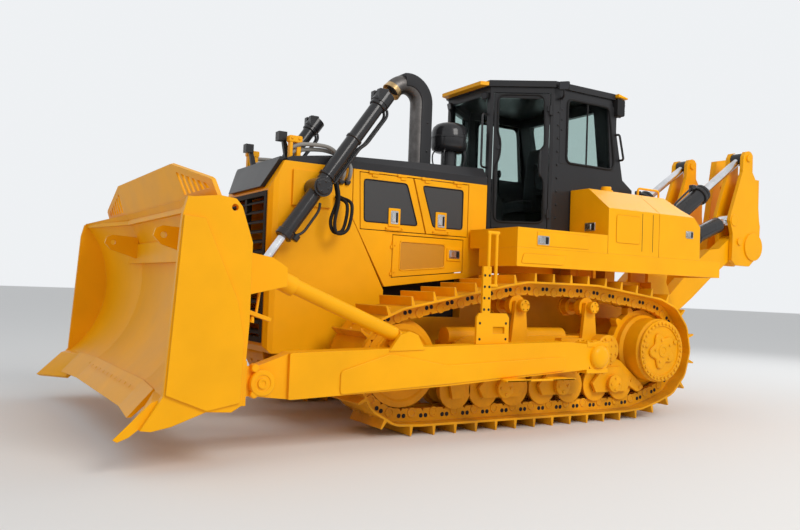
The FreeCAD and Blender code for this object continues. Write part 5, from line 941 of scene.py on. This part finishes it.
def makeLiftPipes():
    # Pipes under the barrel, its bands, gland nut and head with two ports, and the bolted cap of its pivot
    y, (x, z), axis = lift["y"], lift["line"][0], lineAxis(lift["line"])
    dark = []
    for pipe, aside in (("longPipe", -0.030), ("longPipe", 0.030), ("shortPipe", 0.0)):
        path = [liftPoint(along, away, y + aside) for along, away in lift[pipe]]
        dark.append(tube(rounded(path, 0.05), lift["pipeRadius"], 10))
    dark.append(turned(lift["port"], liftPoint(0.47, -0.10), axis, 16))
    dark += [band(liftPoint(along), axis, radius, width, 0.006, 0.006, 32) for along, radius, width in lift["bands"]]
    dark.append(turned(lift["gland"], liftPoint(lift["head"]), -axis, 24))
    dark.append(turned(lift["pivot"], (x, y + 0.103, z), sides=32))
    dark += bolts(ringOf((x, y + 0.117, z), 0.048, 4, start=0.4), (0, 1, 0), 0.010)
    portX, _, portZ = liftPoint(lift["headPort"])
    halfX, halfY = lift["headPortHalf"]
    for aside in (-0.055, 0.055):
        dark.append(block((portX - halfX, y + aside - halfY, portZ + 0.01),
                          (portX + halfX, y + aside + halfY, portZ + 0.13), 0.012))
    dark += bolts([liftPoint(lift["head"] - 0.031, 0.035 * math.cos(a), y + 0.035 * math.sin(a))
                   for a in np.arange(4) * math.pi / 2], -axis, 0.010)
    piece("liftPipes", both(dark), "blackGloss", "lift_barrel")


def makeLiftHoses():
    # Two hoses from the guard to the pipes hang in a loop beside the pivot
    hoses = []
    for k in (0, 1):
        barrel, guard = (np.array(liftHose[end]) + k * np.array(liftHose[end + "Apart"])
                         for end in ("barrel", "guard"))
        path = [liftPoint(*point) for point in barrel] + guard.tolist()
        hoses.append(tube(eased(path), liftHose["radius"], liftHose["sides"]))
    piece("liftHoses", both(hoses), "rubber", "lift_barrel")


noseHose = {
    "radius": 0.019, "sides": 12,
    "path": [(3.95, 0.53, 2.47), (3.84, 0.52, 2.51), (3.62, 0.53, 2.53), (3.46, 0.56, 2.485), (3.40, 0.645, 2.40),
             (3.40, 0.655, 2.31), (3.40, 0.600, 2.25)],
    "apart": [(0, 0, 0.045), (0, 0.045, 0.045), (0, 0.045, 0.03), (0.065, 0.045, 0.02), (0.065, 0, 0),
              (0.065, 0, 0), (0.065, 0, 0)],
    "port": [(-0.003, 0.034), (0.010, 0.034), (0.014, 0.030), (0.030, 0.027), (0.034, 0.0)],
    "bracket": [((3.86, 0.505, 2.33), (3.90, 0.56, 2.62), 0.02, "YZ"),
                ((3.94, 0.505, 2.36), (3.97, 0.56, 2.60), 0.02, "YZ"),
                ((3.85, 0.50, 2.565), (3.98, 0.565, 2.625), 0.015)],
    "bracketBolts": [(3.88, 0.562, 2.60), (3.95, 0.562, 2.60)],
}


def makeNoseHoses():
    # Two hoses lie over the hood, from a yellow bracket to ports on the radiator guard
    bracket = [block(*values) for values in noseHose["bracket"]]
    bracket += bolts(noseHose["bracketBolts"], (0, 1, 0), 0.012)
    paths = [np.array(noseHose["path"]) + k * np.array(noseHose["apart"]) for k in (0, 1)]
    hoses = [tube(eased(path), noseHose["radius"], noseHose["sides"]) for path in paths]
    ports = [turned(noseHose["port"], path[-1], sides=6) for path in paths]
    piece("hoseBrackets", both(bracket), "yellowPaint")
    piece("noseHoses", both(hoses), "silverHose")
    piece("hosePorts", both(ports), "blackGloss")


makeLiftPipes()
makeLiftHoses()
makeNoseHoses()


# Hood, stack and air cleaner

stack = {"place": 2.35, "side": 0.15, "radius": 0.097, "top": 3.22, "base": 2.56, "elbow": 0.18,
         "boltHeights": (2.72, 3.02), "foot": [(0, 0.118), (0.02, 0.118), (0.028, 0.110), (0.028, 0.09)],
         "mouth": [(-0.010, 0.0), (0.045, 0.006), (0.048, 0.003), (0.048, 0.0), (0.006, -0.016)]}


def stackPath():
    # Upright pipe and a bend of 142 degrees: place + elbow (1 - cos a), top + elbow sin a
    path = [(stack["place"], stack["side"], stack["base"]), (stack["place"], stack["side"], stack["top"])]
    for a in np.radians(np.linspace(8, 142, 18)):
        path.append((stack["place"] + stack["elbow"] * (1 - math.cos(a)), stack["side"],
                     stack["top"] + stack["elbow"] * math.sin(a)))
    return np.array(path)


def makeStack():
    # Flat-sided heat shield over the rear of the pipe and the bend, a mouth lined with bare metal, and a dark disc of
    # painted shade inside it
    path = stackPath()
    half, back = stack["radius"] + 0.005, stack["radius"] + 0.010
    section = rounded([(-half, -0.030), (half, -0.030), (half, back), (-half, back)], 0.016, 4, closed=True)
    parts = [carried(path[:-5], section[:, ::-1], normal=(0, 1, 0))]
    for z in stack["boltHeights"]:
        parts += bolt((stack["place"] - 0.05, stack["side"] + half, z), (0, 1, 0), 0.010)
    piece("stackShield", parts, "charcoal")
    ahead = (path[-1] - path[-2]) / np.linalg.norm(path[-1] - path[-2])
    rim = stack["radius"]
    mouth = [(along, rim + over) for along, over in stack["mouth"]] + [(stack["mouth"][-1][0], 0.0)]
    piece("stackMouth", [turned(mouth, path[-1], ahead, 40)], "brass")
    # Dark disc of painted shade for the hollow inside the mouth
    holeShade = [turned([(0.0065, rim - 0.030), (0.0075, rim - 0.030)], path[-1], ahead, 32)]
    piece("stackHoleShade", holeShade, "matteBlack")
    foot = [turned(stack["foot"], (stack["place"], stack["side"], stack["base"] - 0.03), (0, 0, 1), 36)]
    piece("stackFoot", foot, "silverHose")


cleaner = {
    "profile": [(-0.325, 0.085), (-0.318, 0.150), (-0.296, 0.184), (-0.262, 0.199), (-0.180, 0.201), (-0.177, 0.205),
                (-0.160, 0.205), (-0.157, 0.200), (-0.100, 0.196), (-0.055, 0.180), (-0.024, 0.148), (-0.008, 0.105),
                (-0.002, 0.05), (0.0, 0.0)],
    "neck": [(-0.62, 0.086), (-0.318, 0.086)],
    "legAngles": (40, 130, 220, 310), "leg": [(0.165, 0.47), (0.185, 0.40), (0.185, 0.33), (0.160, 0.30)],
}  # profile and neck are (height from the top, radius), leg (out, down)


def makeAirCleaner():
    # Squat dome on a band and a bowl, with clamp legs down to the hood
    low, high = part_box("precleaner")
    x, y, top = (low.x + high.x) / 2 - shift, (low.y + high.y) / 2, high.z
    parts = [turned(cleaner["profile"], (x, y, top), (0, 0, 1), 48),
             turned(cleaner["neck"], (x, y, top), (0, 0, 1), 32)]
    for a in np.radians(cleaner["legAngles"]):
        leg = [(x + out * math.cos(a), y + out * math.sin(a), top - down) for out, down in cleaner["leg"]]
        parts.append(tube(rounded(leg, 0.03), 0.008, 8))
    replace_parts(piece("airCleaner", parts, "blackGloss"), "precleaner")


makeStack()
makeAirCleaner()


# Doors, latches and grilles of the engine room

latchSheets = {
    "dish": ((-0.5, -0.5), (0.5, 0.5), 0.012, 4, 0.0, 0.006, 0.003),
    "paddle": ((-0.40, -0.36), (0.12, 0.36), 0.008, 4, 0.004, 0.010, 0.004),
    # The gap is a dark sheet of painted shade beside the paddle
    "gap": ((0.16, -0.38), (0.42, 0.38), 0.006, 3, 0.0055, 0.001, 0.0004),
}  # low and high corner as shares of width and height, corner bend and steps, raised by, thickness, chamfer


def latch(centre, along, up, width, height, frame=0.0):
    # Recessed paddle latch: silver dish, paddle and lock, a dark sheet of painted shade in its gap, and a painted
    # plate behind if it has a frame
    centre, along, up = (np.array(v, float) for v in (centre, along, up))
    out, size = np.cross(along, up), np.array([width, height])
    raised = frame * 0.2
    sheets = {}
    for name, (low, high, corner, steps, over, thick, chamfer) in latchSheets.items():
        outline = rectangle(size * low, size * high, corner, steps)
        sheets[name] = plate(outline, centre + out * (raised + over), along, up, thick, chamfer)
    lock = turned([(0.004, 0.014), (0.012, 0.013), (0.012, 0.0)],
                  centre + out * raised - along * width * 0.14, out, 16)
    half = size / 2 + frame
    behind = [plate(rectangle(-half, half, 0.008, 3), centre - out * 0.004, along, up, 0.005 + raised,
                    0.003)] if frame else []
    return {"latchSteel": [sheets["dish"], sheets["paddle"], lock], "matteBlack": [sheets["gap"]],
            "yellowPaint": behind}


hoodSide = 0.60
fenderSide = 1.381
engineDoors = {
    "engine_door_front": {"window": [(2.740, 2.300), (2.605, 1.900), (3.203, 1.900), (3.218, 2.300)],
                          "latch": (2.875, 1.960), "size": (0.085, 0.130), "mesh": "darkMesh"},
    "engine_door_rear": {"window": [(2.065, 2.300), (2.065, 1.900), (2.420, 1.900), (2.555, 2.300)],
                         "latch": (2.330, 1.965), "size": (0.085, 0.130), "mesh": "darkMesh"},
    "lower_door": {"window": [(2.270, 1.500), (2.798, 1.450), (2.798, 1.735), (2.270, 1.735)],
                   "latch": (2.155, 1.640), "size": (0.130, 0.085), "mesh": "yellowMesh"},
}


def makeEngineDoors():
    # Mesh in the door's pocket with painted shade in its gaps and a rounded rim, latch on its plate, and a loop under
    # each upper door
    side = hoodSide
    for name, door in engineDoors.items():
        outline = rounded(door["window"], 0.035, 5, closed=True)
        mesh = [panel(inset(outline, 0.001), "XZ", side - 0.0058, side - 0.002, 0.001)]
        path = np.insert(outline, 1, side + 0.001, axis=1)
        rim = [tube(path, 0.006, 8, (0, 1, 0), closed=True)]
        x, z = door["latch"]
        fitted = latch((x, side + 0.004, z), (-1, 0, 0), (0, 0, 1), *door["size"], frame=0.024)
        fitted["yellowPaint"] += rim if door["mesh"] == "yellowMesh" else []
        if name != "lower_door":
            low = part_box(name + "_left")[0].z
            loop = [(x - 0.09, side, low + 0.030), (x - 0.09, side + 0.03, low + 0.010),
                    (x + 0.09, side + 0.03, low + 0.010), (x + 0.09, side, low + 0.030)]
            fitted["yellowPaint"].append(tube(rounded(loop, 0.02), 0.006, 8))
            fitted["rubber"] = rim
        fitted[door["mesh"]] = mesh
        first, *others = name.split("_")
        label = first + "".join(word.title() for word in others)
        for hand, turn in (("left", list), ("right", mirrored)):
            for finish, parts in fitted.items():
                piece(label + hand.title() + finish[0].upper() + finish[1:], turn(parts), finish, name + "_" + hand)


boxLatches = [((1.660, fenderSide, 1.790), (-1, 0, 0), 0.150, 0.090),
              ((-0.455, fenderSide, 1.985), (-1, 0, 0), 0.120, 0.080),
              ((0.7915, 1.12, 1.995), (0, 1, 0), 0.150, 0.090)]  # centre, direction along, width, height


def makeBoxLatches():
    # Latches of the boxes and tanks on the fenders
    fitted = [latch(centre, along, (0, 0, 1), width, height) for centre, along, width, height in boxLatches]
    piece("latches", both([part for one in fitted for part in one["latchSteel"]]), "latchSteel")
    # Dark sheets of painted shade in the latches' gaps
    piece("latchGapShade", both([part for one in fitted for part in one["matteBlack"]]), "matteBlack")


makeEngineDoors()
makeBoxLatches()
print("stage: engine room")


# Cab

cabDoor = {
    "front": (1.60, 0.40), "rear": (1.05, 0.80),
    "seal": [(0.085, 3.405), (0.575, 3.405), (0.590, 2.92), (0.590, 2.86), (0.535, 2.80), (0.535, 2.56),
             (0.590, 2.50), (0.600, 2.03), (0.075, 2.03), (0.065, 2.62), (0.115, 2.72), (0.125, 2.90),
             (0.085, 3.00)], "sealBend": 0.085, "sealRadius": 0.011,
    "handle": [(0.545, 2.80, 0.0), (0.545, 2.80, 0.045), (0.545, 2.53, 0.045), (0.545, 2.53, 0.0)],
    "skinMargin": (0.020, 0.012), "skinOut": (-0.012, 0.003), "lock": (0.10, 2.83),
    "lockProfile": [(0, 0.024), (0.014, 0.022), (0.014, 0.0)],
}  # front and rear are the door's edges in plan; seal, handle and lock are (along, height, out)
doorOrigin = np.array([*cabDoor["front"], 0.0])
doorAlong = np.array([*cabDoor["rear"], 0.0]) - doorOrigin
doorAlong /= np.linalg.norm(doorAlong)
doorOut = np.array([doorAlong[1], -doorAlong[0], 0.0])


def onDoor(along, height, out=0.0):
    # Place on the door's plane: origin + along * doorAlong + out * doorOut, at a height
    return tuple(doorOrigin + doorAlong * along + doorOut * out + np.array([0, 0, height]))


def makeDoorSkin(path):
    # Pressed sheet that fills the door's frame out from the seal
    path = np.asarray(path, float)
    low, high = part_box("door_glass_left")
    inner = np.stack([(path - doorOrigin) @ doorAlong, path[:, 2]], -1)
    first, last = inner[:, 0].min(), inner[:, 0].max()
    middle = np.array([(first + last) / 2, (low.z + high.z) / 2])
    half = np.array([(last - first) / 2, (high.z - low.z) / 2]) + cabDoor["skinMargin"]
    outer = frameBeyond(inner, half, middle)
    back, front = cabDoor["skinOut"]
    return [skin([[onDoor(a, z, out) for a, z in shape]
                  for shape, out in ((outer, back), (outer, front), (inner, front), (inner, back))], loop=True)]


def makeDoorSeal():
    # Rubber round the door's window; it steps round the latch at the front and the lock at the rear
    path = rounded([onDoor(a, z, 0.006) for a, z in cabDoor["seal"]], cabDoor["sealBend"], 7, closed=True)
    seal = [tube(path, cabDoor["sealRadius"], 10, doorOut, closed=True)]
    lever = [tube(rounded([onDoor(*point) for point in cabDoor["handle"]], 0.03), 0.009, 10),
             turned(cabDoor["lockProfile"], onDoor(*cabDoor["lock"]), doorOut, 20)]
    for name, parts, finish in (("doorSeal", seal, "rubber"), ("doorHandle", lever, "blackGloss"),
                                ("doorSkin", makeDoorSkin(path), "charcoal")):
        piece(name + "Left", parts, finish, "cab_door_left")
        piece(name + "Right", mirrored(parts), finish, "cab_door_right")


cabTrim = {
    "side": 0.806, "window": [(0.86, 3.395), (0.235, 3.395), (0.135, 2.775), (0.165, 2.70), (0.86, 2.70)],
    "skinHalf": (0.430, 0.362), "skinMiddle": (0.545, 3.050), "skinSides": (0.794, 0.803),
    "divider": [(0.55, 0.788, 3.39), (0.55, 0.788, 2.71)],
    "rearGrip": [(0.120, 0.80, 3.10), (0.120, 0.86, 3.10), (0.045, 0.86, 2.82), (0.045, 0.80, 2.82)],
    "frontGrip": [(1.60, 0.34, 3.20), (1.67, 0.36, 3.20), (1.67, 0.36, 2.62), (1.60, 0.34, 2.62)],
    "boltSide": 0.801, "boltRows": [(0.985, 1.95, 3.38, 11, 0.011), (0.935, 3.05, 3.38, 4, 0.009)],
}  # each row of bolts is (x, lowest, highest, count, size)


def makeCabTrim():
    # Rubber and pressed sheet round the side window, the divider between its panes, grab handles and bolts
    seal = rounded([(x, cabTrim["side"], z) for x, z in cabTrim["window"]], 0.075, 7, closed=True)
    inner = seal[:, (0, 2)]
    outer = frameBeyond(inner, cabTrim["skinHalf"], np.array(cabTrim["skinMiddle"]))
    low, high = cabTrim["skinSides"]
    sheet = [skin([np.insert(shape, 1, y, axis=1)
                   for shape, y in ((outer, low), (outer, high), (inner, high), (inner, low))], loop=True)]
    piece("windowSkins", both(sheet), "charcoal")
    rubber = [tube(seal, 0.013, 10, (0, 1, 0), closed=True), tube(cabTrim["divider"], 0.010, 8)]
    grips = [tube(rounded(cabTrim["rearGrip"], 0.03), 0.013, 12),
             tube(rounded(cabTrim["frontGrip"], 0.04), 0.012, 12)]
    heads = []
    for x, low, high, count, size in cabTrim["boltRows"]:
        heads += bolts([(x, cabTrim["boltSide"], z) for z in np.linspace(low, high, count)], (0, 1, 0), size)
    piece("cabRubber", both(rubber), "rubber")
    piece("cabGrips", both(grips), "blackGloss")
    piece("cabBolts", both(heads), "charcoal")


def workLamp(place, aim, size):
    # Rounded housing with a rim on a short foot, and its lens; every measure is a share of the size
    place, aim = np.array(place, float), np.array(aim, float)
    aim /= np.linalg.norm(aim)
    side = np.cross((0, 0, 1), aim)
    side /= np.linalg.norm(side)
    up = np.cross(aim, side)
    rings = []
    for share, along in ((0.55, -0.75), (0.85, -0.55), (1.0, -0.1), (1.0, 0.10), (0.92, 0.14)):
        shape = rectangle((-size * share, -size * 0.8 * share), (size * share, size * 0.8 * share), size * 0.3, 4)
        rings.append(place + shape[:, :1] * side + shape[:, 1:] * up + aim * along * size)
    housing = [skin(rings)]
    foot = [place - up * size * 0.8, place - up * size * 1.5]
    housing.append(tube(foot, size * 0.2, 10))
    lens = plate(rectangle((-size * 0.84, -size * 0.66), (size * 0.84, size * 0.66), size * 0.24, 4),
                 place + aim * size * 0.135, side, up, size * 0.05, size * 0.02)
    return housing, lens


cabLamps = {
    "lamps": [((1.008, 0.90, 3.496), (0.75, 0.66, -0.05), 0.058), ((0.03, 0.78, 3.41), (-1.0, 0.15, -0.12), 0.065),
              ((1.63, 0.33, 3.40), (1.0, 0.12, -0.25), 0.045)],
    "arm": [(1.008, 0.90, 3.42), (1.008, 0.90, 3.395), (0.985, 0.86, 3.38), (0.965, 0.79, 3.38)],
}  # each lamp is (place, direction, size)


def makeLamps():
    # Lamps over the doors on bent arms, at the cab's rear corners and under the visor
    pairs = [workLamp(*values) for values in cabLamps["lamps"]]
    housings = [part for housing, lens in pairs for part in housing]
    housings.append(tube(rounded(cabLamps["arm"], 0.02), 0.012, 10))
    piece("lampHousings", both(housings), "matteBlack")
    piece("lampLenses", both([lens for housing, lens in pairs]), "lampGlass")


rearLip = {"box": ((0.045, 0.70, 3.31), (0.158, 0.86, 3.50), 0.02), "ribs": (3.33, 3.35, 3.37, 3.46, 3.48),
           "ribEnds": ((0.036, 0.705), (0.046, 0.855)), "ribHigh": 0.008,
           "outline": [(0.163, 3.518), (0.163, 3.552), (0.015, 3.524), (0.015, 3.508)], "sides": (0.62, 0.875)}


def makeRearLips():
    # Yellow lip sloping back over a ribbed dark lamp box at each rear corner of the roof
    low, high = rearLip["ribEnds"]
    boxes = [block(*rearLip["box"])]
    boxes += [block((*low, z), (*high, z + rearLip["ribHigh"]), 0.002) for z in rearLip["ribs"]]
    piece("rearLampBoxes", both(boxes), "matteBlack")
    piece("rearLips", both([panel(rearLip["outline"], "XZ", *rearLip["sides"])]), "yellowPaint")


seatCushion = {
    "seatPad": {"low": (0.475, -0.255, 2.204), "high": (0.985, 0.255, 2.330), "crown": 0.030},
    "seatBack": {"foot": (0.49, 2.330), "head": (0.405, 3.00), "half": 0.245, "thick": 0.13, "crown": 0.030},
}


def crowned(corner, along, across, out, crown, count=14):
    # Closed pad over a rectangle, u and v from -1 to 1 across it: top and bottom lie off its middle by
    # ((1 - u^4)(1 - v^4))^0.35 / 2 of its depth, and the top is raised by crown (1 - u^2)(1 - v^2)
    corner, along, across, out = (np.array(v, float) for v in (corner, along, across, out))
    spread = np.sin(np.linspace(-1, 1, count) * np.pi / 2)
    u, v = np.meshgrid(spread, spread)
    swell = ((1 - u ** 4) * (1 - v ** 4)) ** 0.35 / 2
    raised = crown * (1 - u * u) * (1 - v * v) / np.linalg.norm(out)
    depth = np.stack([0.5 + swell + raised, 0.5 - swell])[..., None]
    points = corner + along * (u[..., None] + 1) / 2 + across * (v[..., None] + 1) / 2 + out * depth
    index = np.arange(2 * count * count).reshape(2, count, count)
    top, bottom = np.stack([index[:, :-1, :-1], index[:, :-1, 1:], index[:, 1:, 1:], index[:, 1:, :-1]], -1)
    return points.reshape(-1, 3), np.concatenate([top, bottom[..., ::-1]]).reshape(-1, 4).tolist()


def makeSeat():
    # Cushion and backrest of the operator's seat, each a padded form of its own
    pad = seatCushion["seatPad"]
    low, high = np.array(pad["low"]), np.array(pad["high"])
    size = high - low
    seat = piece("seatPad", [crowned(low, (size[0], 0, 0), (0, size[1], 0), (0, 0, size[2]), pad["crown"])],
                 "seatCloth", sharp=80)
    rest = seatCushion["seatBack"]
    foot, head = (np.array([rest[key][0], -rest["half"], rest[key][1]]) for key in ("foot", "head"))
    rise = head - foot
    out = np.cross((0, 1, 0), rise / np.linalg.norm(rise)) * rest["thick"]
    back = piece("seatBack", [crowned(foot, (0, 2 * rest["half"], 0), rise, out, rest["crown"])],
                 "seatCloth", sharp=80)


controls = {
    "x": 0.86, "sides": (0.33, -0.33), "lever": [(0.0, 2.44), (0.03, 2.56), (0.02, 2.66)], "knob": (0.02, 2.65),
    "knobProfile": [(0, 0.012), (0.015, 0.026), (0.05, 0.030), (0.085, 0.022), (0.095, 0.0)],
    "dash": ((1.40, -0.20, 2.40), (1.455, 0.20, 2.60), 0.02, "YZ", 0.008),
}  # lever and knob are (ahead of x, height)


def makeControls():
    # Two levers with knobs beside the seat, and the dash with its screen ahead of it
    parts = []
    (ahead, height), x = controls["knob"], controls["x"]
    for y in controls["sides"]:
        parts.append(tube(rounded([(x + a, y, z) for a, z in controls["lever"]], 0.03), 0.012, 10))
        parts.append(turned(controls["knobProfile"], (x + ahead, y, height), (0, 0, 1), 20))
    parts.append(block(*controls["dash"]))
    piece("cabControls", parts, "matteBlack")


makeDoorSeal()
makeCabTrim()
makeLamps()
makeRearLips()
makeSeat()
makeControls()
print("stage: cab")


# Platform and tanks

tank = {
    "seams": (0.296, 0.135), "seamWidth": 0.006, "seamHeights": (1.76, 2.16), "top": 2.405,
    "railSide": 0.95, "rail": [(-0.10, 0.0), (-0.10, 0.10), (-0.44, 0.10), (-0.44, 0.0)], "filler": (0.45, 1.0),
    "fillerProfile": [(0, 0.075), (0.012, 0.075), (0.016, 0.070), (0.016, 0.055), (0.05, 0.055), (0.056, 0.048),
                      (0.056, 0.0)],
    "pressed": ((0.33, 1.83), (0.68, 2.12)),
}  # rail points are (x, height over the top)
stepBox = {"door": ((1.06, 1.735), (1.74, 1.875)),
           "ledge": [(1.93, 1.560), (1.90, 1.655), (1.36, 1.655), (1.40, 1.560)]}


def makeTankDetails():
    # Dark lines of painted shade in the gaps round the battery and tool doors, a rail and a filler cap on the tank,
    # and a pressed panel
    side, top, (low, high) = fenderSide, tank["top"], tank["seamHeights"]
    line = rectangle((0, low), (tank["seamWidth"], high))
    seams = [plate(line, (x, side, 0), (-1, 0, 0), (0, 0, 1), 0.0008, 0.0002) for x in tank["seams"]]
    rail = tube(rounded([(x, tank["railSide"], top + over) for x, over in tank["rail"]], 0.04), 0.013, 12)
    caps = [turned(tank["fillerProfile"], (*tank["filler"], top), (0, 0, 1), 32),
            panel(rectangle(*tank["pressed"], 0.03, 4), "XZ", side - 0.001, side + 0.005, 0.004)]
    piece("tankRails", both([rail]), "yellowPaint")
    piece("tankPanels", both(caps), "yellowPaint")
    piece("tankSeamShade", both(seams), "matteBlack")


def makeStepPanels():
    # Door panel in the box on the fender and the step plate below it
    side = fenderSide
    ledge = rounded(stepBox["ledge"], 0.02, 3, closed=True)
    parts = [panel(rectangle(*stepBox["door"], 0.01, 3), "XZ", side - 0.001, side + 0.004, 0.003),
             panel(ledge, "XZ", side - 0.001, side + 0.006, 0.004)]
    piece("stepPanels", both(parts), "yellowPaint")


makeTankDetails()
makeStepPanels()
print("stage: platform")


# Ripper

ripper = {
    "y": 0.45, "tilt": ((-1.238, 2.243), (-2.599, 3.183)), "lower": ((-0.985, 1.80), (-2.339, 2.335)),
    "rodStart": 0.74, "rodEnd": 0.085, "rodRadius": 0.0506,
    "barrels": [("tilt", 0.735, "ripper_tilt"), ("lower", 0.80, "ripper_barrel")],
    "bands": [(-0.10, 0.128, 0.055), (-0.03, 0.118, 0.045)], "rearBand": (0.14, 0.115, 0.03),
    "boltCircle": 0.095, "boltCount": 10, "portHalf": (0.035, 0.03, 0.03),
}  # barrels are (line, its head along the line, body), bands (along from the head, radius, width)


def makeRipperDetails():
    # Bright rods of the tilt cylinders; bands, head bolts, a port and its pipe on every barrel
    y, circleSize, (start, end) = ripper["y"], ripper["boltCircle"], ripper["tilt"]
    rodLength = math.dist(start, end) - ripper["rodEnd"] - ripper["rodStart"]
    rod = turned([(0, ripper["rodRadius"]), (rodLength, ripper["rodRadius"])],
                 onLine(ripper["tilt"], y, ripper["rodStart"]), lineAxis(ripper["tilt"]), 40)
    piece("tiltRods", both([rod]), "chrome", "ripper_tilt")
    for name, head, body in ripper["barrels"]:
        line, axis = ripper[name], lineAxis(ripper[name])
        rings = [(head + along, radius, width) for along, radius, width in ripper["bands"]] + [ripper["rearBand"]]
        parts = [band(onLine(line, y, along), axis, radius, width, 0.01, 0.008, 36) for along, radius, width in rings]
        for a in np.linspace(0, 2 * np.pi, ripper["boltCount"], endpoint=False):
            place = onLine(line, y + circleSize * math.sin(a), head + 0.017, -circleSize * math.cos(a))
            parts += bolt(place, axis, 0.010)
        pipe = [onLine(line, y, along, away)
                for along, away in ((head - 0.12, -0.15), (head - 0.25, -0.15), (0.22, -0.135), (0.18, -0.115))]
        port, half = np.array(pipe[0]), np.array(ripper["portHalf"])
        parts.append(block(port - half, port + half, 0.01))
        parts.append(tube(rounded(pipe, 0.03), 0.013, 10))
        piece(name + "Fittings", both(parts), "blackGloss", body)


makeRipperDetails()
print("stage: ripper")


bpy.context.view_layer.update()
